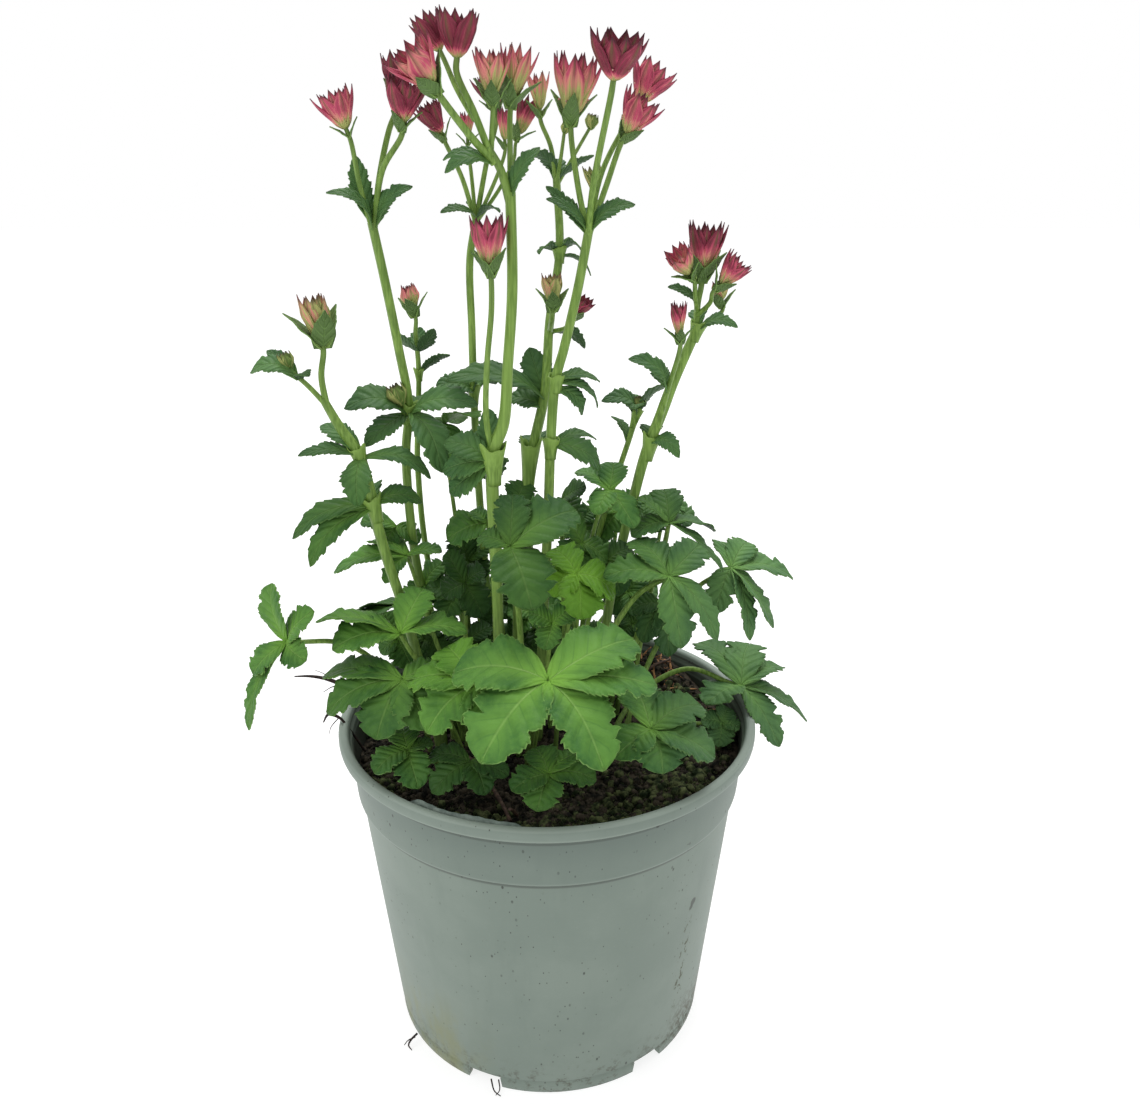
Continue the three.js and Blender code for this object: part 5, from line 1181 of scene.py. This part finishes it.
# Small young leaves low among the stalks, in the same form
youngLeaves = [
    ((6, 14), [(14, 10, 160)], (24, 4, 200), (0.1, -0.4, 0.9), 1.2, -0.6, [(-9, 2, 4, 4.5), (10, 3, 4, 5),
     (5, -7, -12, 5), (-6, -7, -9, 4.5)]),
    ((14, 2), [(28, 2, 150)], (46, 2, 182), (0, -0.4, 0.9), 1.2, -0.6, [(-12, 0, -2, 4.5), (12, 0, -6, 4.5),
     (3, -7, -20, 4.5), (-8, -6, -14, 4)]),
    ((32, -2), [(50, 0, 128)], (72, -6, 132), (0.2, -0.3, 0.9), 1.2, -0.3, [(7, -2, -1, 4), (-3, -9, -6, 4.2),
     (-9, 0, 1, 4), (3, 6, 4, 3.6)]),
    ((-14, 8), [(-13, 10, 180)], (-12, 10, 221), (0, -0.4, 0.9), 1.2, -0.7, [(-12, 4, -4, 5.5), (-6, -4, -13, 5.5),
     (9, 0, -10, 5), (4, 4, 9, 5)]),
    ((8, 8), [(7, 14, 180)], (6, 15, 222), (0, -0.4, 0.9), 1.2, -0.7, [(10, -2, 6, 5), (-6, -2, -11, 5),
     (9, -2, -8, 5)]),
    ((-36, 16), [(-50, 16, 180)], (-60, 14, 212), (0, -0.4, 0.9), 1.2, -0.5, [(-14, -2, 2, 4.5), (-5, -4, -12, 4.2),
     (9, 0, -7, 4)]),
    ((-6, -14), [(-2, -16, 150)], (2, -20, 184), (0, -0.4, 0.9), 1.2, -0.1, [(-9, 0, 4, 4.5), (9, 2, 4, 4.5),
     (-3, -7, -8, 4)]),
    ((22, 17), [(26, 25, 174)], (30, 28, 213), (0.1, -0.45, 0.88), 1.2, -0.35, [(-12, 2, 6, 5.5), (9, 3, 5, 4.5),
     (15, -2, -4, 6.2), (-8, -4, -10, 5.5)]),
    ((9, 20), [(11, 31, 171)], (13, 34, 207), (0.1, -0.45, 0.88), 1.2, -0.6, [(-6, 2, 7, 4.1), (10, -6, -11, 6.4),
     (7, 3, 4, 3.8), (-7, -3, -6, 4.2)]),
    ((35, 12), [(42, 18, 175)], (48, 20, 215), (0.1, -0.45, 0.88), 1.2, -0.3, [(-9, 2, 3, 4.2), (8, 2, 3, 3.9),
     (12, -3, -3, 5.2), (-5, -3, -7, 4.0)]),
    ((27, 18), [(33, 27, 146)], (37, 30, 161), (0.1, -0.45, 0.88), 1.2, -0.6, [(-7, 2, 5, 3.9), (-5, -5, -5, 3.8),
     (7, -2, -5, 3.9), (6, 4, 6, 4.1)]),
    ((-44, 4), [(-54, 5, 148)], (-61, 6, 166), (-0.1, -0.45, 0.88), 1.2, -0.5, [(-5, 2, 11, 5.1), (-7, -3, -5, 4.0),
     (6, -6, -10, 5.4), (9, 3, 4, 4.4)]),
    ((-17, 5), [(-20, 7, 175)], (-23, 8, 215), (0, -0.3, 0.95), 1.2, -0.35, [(-16, -3, -6, 6.8), (-7, 3, 4, 3.8)]),
    ((-23, 13), [(-28, 20, 164)], (-32, 22, 194), (-0.1, -0.45, 0.88), 1.2, -0.85, [(-4, 4, 11, 5.1),
     (7, -4, -6, 4.3), (-10, -4, -5, 4.9), (0, -8, -12, 5.8), (9, 3, 6, 4.7)]),
    ((-28, 16), [(-34, 23, 155)], (-39, 26, 178), (-0.1, -0.45, 0.88), 1.2, -0.9, [(-9, 0, 5, 4.4), (-7, -5, -6, 4.5),
     (7, -6, -8, 5.1), (11, 3, 4, 5.0)]),
    ((-36, 8), [(-44, 13, 160)], (-50, 14, 187), (-0.1, -0.45, 0.88), 1.2, -0.45, [(-6, -4, -5, 3.9), (8, 3, 8, 4.9),
     (6, -4, -6, 4.1)]),
    ((-14, 14), [(-18, 22, 153)], (-20, 24, 174), (-0.1, -0.45, 0.88), 1.2, -0.9, [(-6, 2, 6, 3.9), (-5, -6, -8, 4.7),
     (10, -4, -3, 4.7), (6, 3, 6, 4.0)]),
    ((-4, 12), [(-5, 18, 151)], (-6, 20, 171), (-0.1, -0.45, 0.88), 1.2, -0.3, [(-11, -1, 1, 4.7), (-6, -6, -6, 4.4),
     (11, -6, -5, 5.5), (12, 2, 3, 5.2)]),
    ((14, 24), [(17, 36, 164)], (19, 40, 194), (0.1, -0.45, 0.88), 1.2, -0.5, [(-6, 4, 11, 5.4), (8, 3, 7, 4.7),
     (11, -4, -6, 5.4), (0, -7, -13, 5.9), (-9, -2, -6, 4.6)]),
    ((25, 19), [(31, 29, 153)], (35, 32, 175), (0.1, -0.45, 0.88), 1.2, -0.5, [(-8, 3, 7, 4.7), (6, 4, 9, 4.8),
     (13, -2, 0, 5.4), (4, -7, -8, 4.8), (-9, -5, -7, 5.1)]),
    ((-24, 7), [(-29, 11, 146)], (-33, 12, 162), (-0.1, -0.45, 0.88), 1.2, -0.9, [(-9, 2, 5, 4.5), (-7, -6, -5, 4.5),
     (10, -5, -5, 5.1), (10, 3, 5, 4.8)]),
    ((-37, 7), [(-45, 11, 147)], (-51, 12, 163), (-0.1, -0.45, 0.88), 1.2, -0.85, [(-12, 0, 3, 5.1),
     (-6, -6, -7, 4.6), (10, -5, -6, 5.2), (7, 4, 6, 4.3)]),
    ((1, 10), [(2, 14, 144)], (2, 16, 158), (0.1, -0.45, 0.88), 1.2, -0.8, [(-10, 2, 5, 4.8), (-8, -6, -5, 4.7),
     (11, -6, -5, 5.5), (10, 3, 5, 4.8)]),
    ((17, 16), [(21, 23, 142)], (24, 26, 155), (0.1, -0.45, 0.88), 1.2, -0.8, [(-10, 2, 6, 4.9), (-7, -7, -7, 5.0),
     (9, -3, -5, 4.5), (8, 3, 5, 4.3)]),
    ((-11, 13), [(-13, 20, 144)], (-15, 22, 158), (-0.1, -0.45, 0.88), 1.2, -0.9, [(-9, 2, 3, 4.2), (-5, -6, -8, 4.7),
     (9, -4, -3, 4.4), (6, 3, 8, 4.4)]),
    ((4, 28), [(6, 44, 146)], (8, 56, 160), (0, 0.3, 0.95), 1.2, -0.1, [(-14, 10, -4, 6), (2, 18, -6, 6.5),
     (16, 8, -5, 6), (-16, -2, 0, 5.5), (15, -3, 1, 5)]),
    ((-18, 25), [(-25, 40, 152)], (-30, 50, 170), (0, 0.3, 0.95), 1.2, -0.25, [(-15, 8, -3, 6), (-3, 16, -6, 6),
     (13, 10, -3, 6), (-12, -4, 2, 5)]),
    ((25, 23), [(35, 36, 145)], (42, 46, 158), (0, 0.3, 0.95), 1.2, -0.2, [(14, 8, -5, 6), (0, 15, -6, 6),
     (-14, 7, -2, 5.5), (12, -5, 1, 5)]),
]

# Sheaths at the stems' joints: where they start and end, and their radius there
sheaths = {
    "stem_a": [((-19, -14, 237), (-19, -14, 251.5), 2.7, 4.9)],
    "stem_b": [((-28, 25, 259), (-28, 25.5, 266), 1.7, 2.9)],
    "stem_c": [((-53.5, 12.2, 254), (-52, 11.5, 262.5), 2.0, 3.6)],
    "stem_d": [((1.8, 0.2, 243), (2.2, 0, 251), 2.2, 3.4), ((4, 0, 268), (4.2, 0, 274.5), 2.1, 3.2)],
    "stem_e": [((-7.2, 14.8, 226), (-5.6, 15.6, 246), 2.4, 4.2), ((6, 30.8, 312), (6, 31.2, 318), 1.8, 3.0)],
    "stem_f": [((40, 16, 238), (42, 16.3, 248), 2.3, 3.8), ((57, 18.9, 284), (59, 19, 291), 2.0, 3.4)],
    "stem_g": [((35, 26, 249), (37, 26, 256.5), 1.3, 2.6)],
    "stem_h": [((-63.5, -8, 221), (-65.4, -8, 231), 2.4, 3.9), ((-67.5, -8, 242), (-69.4, -8, 250), 2.2, 3.5)],
    "stem_i": [((-50, 31, 267), (-50, 31.2, 272), 1.3, 2.2)],
}

# Stalks by kind: sides, ribs and rib depth, and tones from the foot to the top
stalkForm = {"sides": 10, "ribs": 5, "depth": 0.05, "tones": (-1.3, -0.2, 0.1, -0.1, -0.4), "armTones": (-0.1, -0.7)}
leafStalkForm = {"sides": 8, "ribs": 4, "depth": 0.08, "tones": (-0.9, -0.3, 0.4), "taper": (1.1, 1, 0.8)}
rootForm = {"sides": 6, "ribs": 2, "depth": 0.12, "tones": (0.0, 0.0)}


def makeStalks(name, lines, slot, *nodes, form=stalkForm, material=stemSkin):
    # lines: (points, radii, tones) for each stalk; the points run through a smooth curve
    verts, edges, radius, tone = [], [], [], []
    for points, radii, shade in lines:
        samples, t = smoothPath(points)
        first = len(verts)
        verts += (samples * mm).tolist()
        edges += [(first + i, first + i + 1) for i in range(len(samples) - 1)]
        radius += (np.interp(t, np.linspace(0, 1, len(radii)), radii) * stemLook["slim"] * mm).tolist()
        tone += np.interp(t, np.linspace(0, 1, len(shade)), shade).tolist()
    mesh = newMesh(name, verts, edges, [])
    setReading(mesh, "stalkRadius", radius)
    setReading(mesh, "tone", tone)
    made = newObject(name, mesh)
    grow(made, ribbedStalk, Sides=form["sides"], Ribs=form["ribs"], RibDepth=form["depth"], Material=material)
    return keepPiece(made, slot, *nodes)


def buildRoots():
    for title, lines, skin, sides in (("OldRoots", oldRoots, rootSkin, 6), ("DryStalks", dryStalks, strawSkin, 8),
                                      ("FootHairs", footHairs, rootSkin, 6)):
        makeStalks(title, [(points, radii, rootForm["tones"]) for points, radii in lines], "soil",
                   form={**rootForm, "sides": sides}, material=skin)


# Lobes of basal leaves, blades of stem leaves, and the green sepals under the blooms
lobeForm = {
    "places": (0, 0.08, 0.16, 0.26, 0.38, 0.5, 0.6, 0.7, 0.79, 0.87, 0.94, 1),
    "widths": (0.10, 0.34, 0.57, 0.76, 0.91, 0.99, 1.02, 1.01, 0.93, 0.74, 0.45, 0.05),
    "fullness": 1.31, "thickness": 0.45, "tooth": 0.20, "quilt": 0.55, "arch": 0.26, "teethFrom": 0.3,
    "layer": 0.12, "cleft": 0.45,
}
bladeForm = {
    "places": (0, 0.08, 0.2, 0.36, 0.55, 0.7, 0.82, 0.92, 1),
    "widths": (0.22, 0.36, 0.64, 0.90, 1, 0.93, 0.72, 0.40, 0.03),
    "fullness": 1.2, "thickness": 0.45, "tooth": 0.28, "quilt": 0.5, "teethFrom": 0.3,
    "tone": -0.45, "cleft": 0.34,
}
sepalForm = {
    "places": (0, 0.15, 0.3, 0.48, 0.68, 0.86, 1),
    "widths": (0.72, 0.9, 1, 0.92, 0.6, 0.26, 0.02),
    "fullness": 0.84, "thickness": 0.4, "tooth": 0.12, "quilt": 0.3, "teethFrom": 0.5,
    "tone": (0.1, -0.25), "teeth": 4,
}

# Teeth: smooth rows below them, where the last one ends, and the rows of one tooth with how far each stands out
toothForm = {"smoothRows": 9, "end": 0.965, "places": (0, 0.5, 0.9), "kicks": (-0.5, 0.3, 1.0)}
# Chance in each lobe: bend, roll, tooth size, edge waves and tone, and each side's two clefts by place and depth
lobeChance = {
    "sway": 0.05, "roll": 0.2, "teeth": (0.8, 1.2), "ripple": (0.04, 0.1), "tone": 0.12,
    "clefts": [((0.62, 0.7), (0.5, 1.0)), ((0.8, 0.85), (0.3, 0.7))],
}
lobeFold = {"fold": 0.2, "bow": -0.05, "push": 0.03}


def toothedRows(teeth, start):
    smooth = toothForm["smoothRows"]
    rows, kick = list(np.linspace(0, start, smooth + 1)[:-1]), [0.0] * smooth
    step = (toothForm["end"] - start) / teeth
    for k in range(teeth):
        rows += [start + (k + place) * step for place in toothForm["places"]]
        kick += toothForm["kicks"]
    return np.array(rows + [1.0]), np.array(kick + [0.0])


def addLobe(part, start, control, end, across, halfWidth, form, tone, teeth=7, cleft=0.0):
    t, kick = toothedRows(teeth, form["teethFrom"])
    line = arch(start, control, end, t)
    length = np.linalg.norm(end - start)
    sway = random.uniform(-lobeChance["sway"], lobeChance["sway"]) * length
    line = line + across * (sway * np.sin(math.pi * t))[:, None]
    halfWidth = halfWidth * form["fullness"]
    widths = halfWidth * np.interp(t, form["places"], form["widths"])
    clefts = []
    if cleft:
        for side in (-1, 1):
            for place, depth in lobeChance["clefts"]:
                clefts.append((random.uniform(*place), side, cleft * random.uniform(*depth)))
    roll = random.uniform(-lobeChance["roll"], lobeChance["roll"])
    across = across * math.cos(roll) + unit(np.cross(end - start, across)) * math.sin(roll)
    if isinstance(tone, tuple):  # from the foot to the tip
        tone = np.interp(t, (0.1, 0.7), tone)
    kick = kick * form["tooth"] / math.sqrt(halfWidth) * random.uniform(*lobeChance["teeth"])
    addBlade(part, line, across, widths, t, fold=lobeFold["fold"], bow=lobeFold["bow"], kick=kick,
             push=lobeFold["push"] * length, quilt=form["quilt"] * halfWidth / 8, clefts=clefts,
             ripple=random.uniform(*lobeChance["ripple"]),
             tone=tone + random.uniform(-lobeChance["tone"], lobeChance["tone"]))


def addLeaf(part, lines, leaf):
    # one lobed blade on its stalk
    (x, y), via, hub, face, r, tone, lobes = leaf
    hub, face = np.array(hub, float), unit(np.array(face, float))
    for number, (*tip, halfWidth) in enumerate(lobes):
        way = np.array(tip, float)
        length = np.linalg.norm(way)
        control = hub + way * 0.5 + face * lobeForm["arch"] * length
        addLobe(part, hub + face * (lobeForm["layer"] * number), control, hub + way, unit(np.cross(face, way)),
                halfWidth, lobeForm, tone, teeth=4 + int(length / 4), cleft=lobeForm["cleft"])
    path = [(x, y, soilSize["stalkFoot"]), (x, y, soilSize["level"] + 5), *via, tuple(hub - 0.3 * face)]
    lines.append((path, [r * share for share in leafStalkForm["taper"]], leafStalkForm["tones"]))


def buildLeaves():
    groups = [("Leaf" + name[-2:], "Leaf" + name[-2:] + "Stalk", parts, [name]) for name, parts in leaves.items()]
    groups.append(("YoungLeaves", "YoungLeafStalks", youngLeaves, []))
    for title, stalkTitle, parts, nodes in groups:
        part, lines = newPart(), []
        for leaf in parts:
            addLeaf(part, lines, leaf)
        keepPiece(makeObject(title, part, leafSkins, lobeForm["thickness"]), "leaf", *nodes)
        makeStalks(stalkTitle, lines, "leaf", form=leafStalkForm)


def bladeRoute(start, end, lift, face=None):
    a, b = np.array(start, float), np.array(end, float)
    along = unit(b - a)
    lean = (0, 0.4, 0.9) if b[1] > 22 else (0, -0.5, 0.85)
    out = np.array(face or lean, float)
    out = unit(out - along * out.dot(along))
    return a, (a + b) / 2 + out * 2 * lift, b, unit(np.cross(out, along))


def bloomNamed(name):
    return dict(zip(bloomFields, blooms[name]))


def axisOf(bloom):
    return unit(np.array(bloom["top"], float) - np.array(bloom["base"], float))


def sepalRoutes(bloom, count, reach, phase):
    # green sepals under a bloom, wide of its cup
    axis = axisOf(bloom)
    turn = Vector((0, 0, 1)).rotation_difference(Vector(axis))
    base = np.array(bloom["base"], float)
    for k in range(count):
        a = math.radians(phase + 360 / count * k)
        out = np.array(turn @ Vector((math.cos(a), math.sin(a), 0)))
        along = unit(axis * 0.8 + out * 0.62)
        start = base - axis * 3.2
        end = base - axis * 3 + along * reach * 1.16 + out * 0.6
        control = start + axis * reach * 0.5 + out * reach * 0.3
        yield start, control, end, unit(np.cross(axis, out))


# Sheaths: waves round the rim as count and share, fluting, and tones from the foot to the rim
sheathForm = {
    "rows": 9, "around": 24, "waves": [(2, 0.09), (5, 0.04)], "flare": 1.7, "flutes": 9, "fluting": 0.12,
    "tones": (-0.3, 0.1, 1.3), "thickness": 0.4,
}


def buildSheaths(title, cups):
    # open cups of joined leaf feet round the stem, paler towards the rim
    part = newPart()
    t = np.linspace(0, 1, sheathForm["rows"])
    angles = np.linspace(0, 2 * math.pi, sheathForm["around"], endpoint=False)
    shades = np.interp(t, (0, 0.5, 1), sheathForm["tones"])
    for low, high, small, wide in cups:
        low, high = np.array(low, float), np.array(high, float)
        axis = unit(high - low)
        side = unit(np.cross(axis, (0.0, 1.0, 0.0)))
        front = np.cross(axis, side)
        waves = 1
        for count, share in sheathForm["waves"]:
            waves = waves + share * np.sin(count * angles + random.uniform(0, 6))
        reach = t[:, None] * (1 + (waves - 1) * t[:, None]**2)
        flutes = sheathForm["fluting"] * np.cos(sheathForm["flutes"] * angles)
        radius = small + (wide - small) * t[:, None]**sheathForm["flare"] * waves + flutes * t[:, None]
        around = np.cos(angles)[:, None] * side + np.sin(angles)[:, None] * front
        grid = low + reach[..., None] * (high - low) + radius[..., None] * around
        addGrid(part, grid, tone=np.repeat(shades[:, None], sheathForm["around"], axis=1), closed=True)
    keepPiece(makeObject(title, part, [stemSkin], sheathForm["thickness"]), "stem")


def stemLines(stem):
    x, y = stem["foot"]
    main = [(x, y, soilSize["stalkFoot"]), (x, y, soilSize["level"] + 5), *stem["main"]]
    lines = [(main, stem["r"], tuple(tone + stem.get("tone", 0.0) for tone in stalkForm["tones"]))]
    for path, thick, *flower in stem.get("arms", []):
        for name in flower:
            bloom = bloomNamed(name)
            path = path + [tuple(np.array(bloom["base"]) + axisOf(bloom) * rise) for rise in (-4, 0.4)]
        lines.append((path, (thick, thick * 0.8), stalkForm["armTones"]))
    return lines


# A bud: mouth and belly as shares of its length, its tone and its share of pale green
budForm = {"mouth": 0.28, "belly": 0.42, "tone": -2.3, "pale": 0.2}


def buildBuds(title, buds):
    for number, (at, way, length) in enumerate(buds):
        bud = {"base": at, "top": np.array(at, float) + unit(np.array(way, float)) * length, **budForm}
        bud["mouth"] *= length
        bud["belly"] *= length
        buildBloom(title + "Bud" + str(number + 1), bud, "stem", number)


def buildStems():
    for name, stem in stems.items():
        title = "Stem" + name[-1].upper()
        foliage, sepals = newPart(), newPart()
        for start, end, halfWidth, *rest in stem["leaves"]:
            start, control, end, across = bladeRoute(start, end, *rest)
            addLobe(foliage, start, control, end, across, halfWidth, bladeForm, bladeForm["tone"],
                    cleft=bladeForm["cleft"])
        for flower, count, reach, halfWidth, phase in stem.get("green", []):
            for start, control, end, across in sepalRoutes(bloomNamed(flower), count, reach, phase):
                addLobe(sepals, start, control, end, across, halfWidth, sepalForm, sepalForm["tone"],
                        teeth=sepalForm["teeth"])
        makeStalks(title, stemLines(stem), "stem", name)
        buildSheaths(title + "Sheaths", sheaths[name])
        keepPiece(makeObject(title + "Leaves", foliage, leafSkins, bladeForm["thickness"]), "leaf")
        if sepals["points"]:
            keepPiece(makeObject(title + "Sepals", sepals, sepalSkins, sepalForm["thickness"]), "leaf")
        buildBuds(title, stem.get("buds", []))


bractForm = {
    "places": (0, 0.2, 0.38, 0.5, 0.62, 0.75, 0.86, 0.95, 1),
    "widths": (0.42, 0.68, 0.95, 1, 0.9, 0.64, 0.35, 0.12, 0.02),
    "thickness": 0.3, "overlap": 1.1, "bow": 0.34, "jitter": 0.14,
    "counts": ((8.5, 7), (5, 6), (0, 5)),  # how many bracts a mouth wider than this has
    "layers": ((1.0, 0.95), (0.84, 1.0)),  # each ring's mouth and height, as shares
}
# A dome in the cup that carries florets: its size, its rings as place and level, and the florets' sizes in metres
floretForm = {
    "dome": 0.42, "around": 12, "rings": ((1, 0), (0, 0), (0.25, 0.38), (0.5, 0.71), (0.75, 0.92), (1, 1)),
    "foot": 0.26, "rise": 0.1, "bare": 0.27, "density": 900000.0, "sizes": (0.0001, 0.00013), "tilt": 0.2,
    "smallestMouth": 4,
}


def addBract(part, belly, mouth, height, top, halfWidth, tone, pale):
    route = [(0.12 * belly, 0, 0), (0.36 * belly, 0, 0.1 * height), (0.94 * belly, 0, 0.52 * height),
             (0.5 * (belly + mouth), 0, 0.72 * height), (mouth, 0, top * height)]
    line, t = smoothPath(route, 4)
    widths = halfWidth * np.interp(t, bractForm["places"], bractForm["widths"])
    tone = np.interp(line[:, 2] / height, (0, 0.7 * pale, 0.18 + 1.3 * pale), (min(tone, -1.9), min(tone, -1.6), tone))
    addBlade(part, line, np.array((0.0, 1.0, 0.0)), widths, t, fold=0.0, bow=bractForm["bow"], tone=tone, outward=True)


def joined(title, pieces):
    with bpy.context.temp_override(active_object=pieces[0], selected_editable_objects=pieces):
        bpy.ops.object.join()
    pieces[0].name = title
    pieces[0].data.name = title
    return pieces[0]


def buildBloom(title, bloom, slot, number, *nodes):
    base = np.array(bloom["base"], float)
    axis = axisOf(bloom)
    height = np.linalg.norm(np.array(bloom["top"]) - base)
    mouth = bloom["mouth"]
    belly = bloom.get("belly", mouth * 0.8)
    count = next(count for wider, count in bractForm["counts"] if mouth > wider)
    halfWidth = math.pi * belly / count * bractForm["overlap"]
    spin = Vector((0, 0, 1)).rotation_difference(Vector(axis)).to_matrix().to_4x4()
    place = Matrix.Translation(Vector(base) * mm) @ spin
    rings = []
    for layer, (wide, tall) in enumerate(bractForm["layers"]):
        part = newPart()
        addBract(part, belly * (1 - 0.1 * layer), mouth * wide, height, tall, halfWidth, bloom["tone"], bloom["pale"])
        ring = makeObject(title + "Ring" + str(layer), part, [bractSkin], bractForm["thickness"])
        rings.append(grow(ring, bractRing, Count=count, Phase=0.5 * layer, Jitter=bractForm["jitter"],
                          Seed=number * 2 + layer, Material=bractSkin))
    made = joined(title, rings)
    made.data.transform(place)
    keepPiece(made, slot, *nodes)
    if mouth >= floretForm["smallestMouth"]:
        buildFlorets(title + "Florets", belly, height, place, number)


def buildFlorets(title, belly, height, place, number):
    angles = np.linspace(0, 2 * math.pi, floretForm["around"], endpoint=False)
    rows = []
    for inward, level in floretForm["rings"]:
        radius = floretForm["dome"] * belly * math.cos(inward * math.pi / 2)
        flat = np.full(len(angles), (floretForm["foot"] + floretForm["rise"] * level) * height)
        rows.append(np.stack([radius * np.cos(angles), radius * np.sin(angles), flat], axis=-1))
    part = newPart()
    addGrid(part, np.array(rows), closed=True)
    dome = makeObject(title, part, [floretSkin], weld=True)
    setReading(dome.data, "share", pointsOf(dome.data)[:, 2] > floretForm["bare"] * height * mm)
    small, large = floretForm["sizes"]
    grow(dome, floretField, Density=floretForm["density"] * (8 / belly)**2, Smallest=small * belly,
         Largest=large * belly, Tilt=floretForm["tilt"], Seed=number, Material=floretSkin)
    dome.data.transform(place)
    keepPiece(dome, "bract")


buildPot(potSize)
buildSliver(sliverSize)
print("pot turned and cut")
buildSoil(soilSize)
buildRoots()
print("soil laid")
buildLeaves()
print("basal leaves grown")
buildStems()
print("stems grown")
for number, name in enumerate(blooms):
    order = name[1:].zfill(2)
    buildBloom("Bloom" + order, bloomNamed(name), "bract", number, "bloom_" + order)
print("blooms grown")
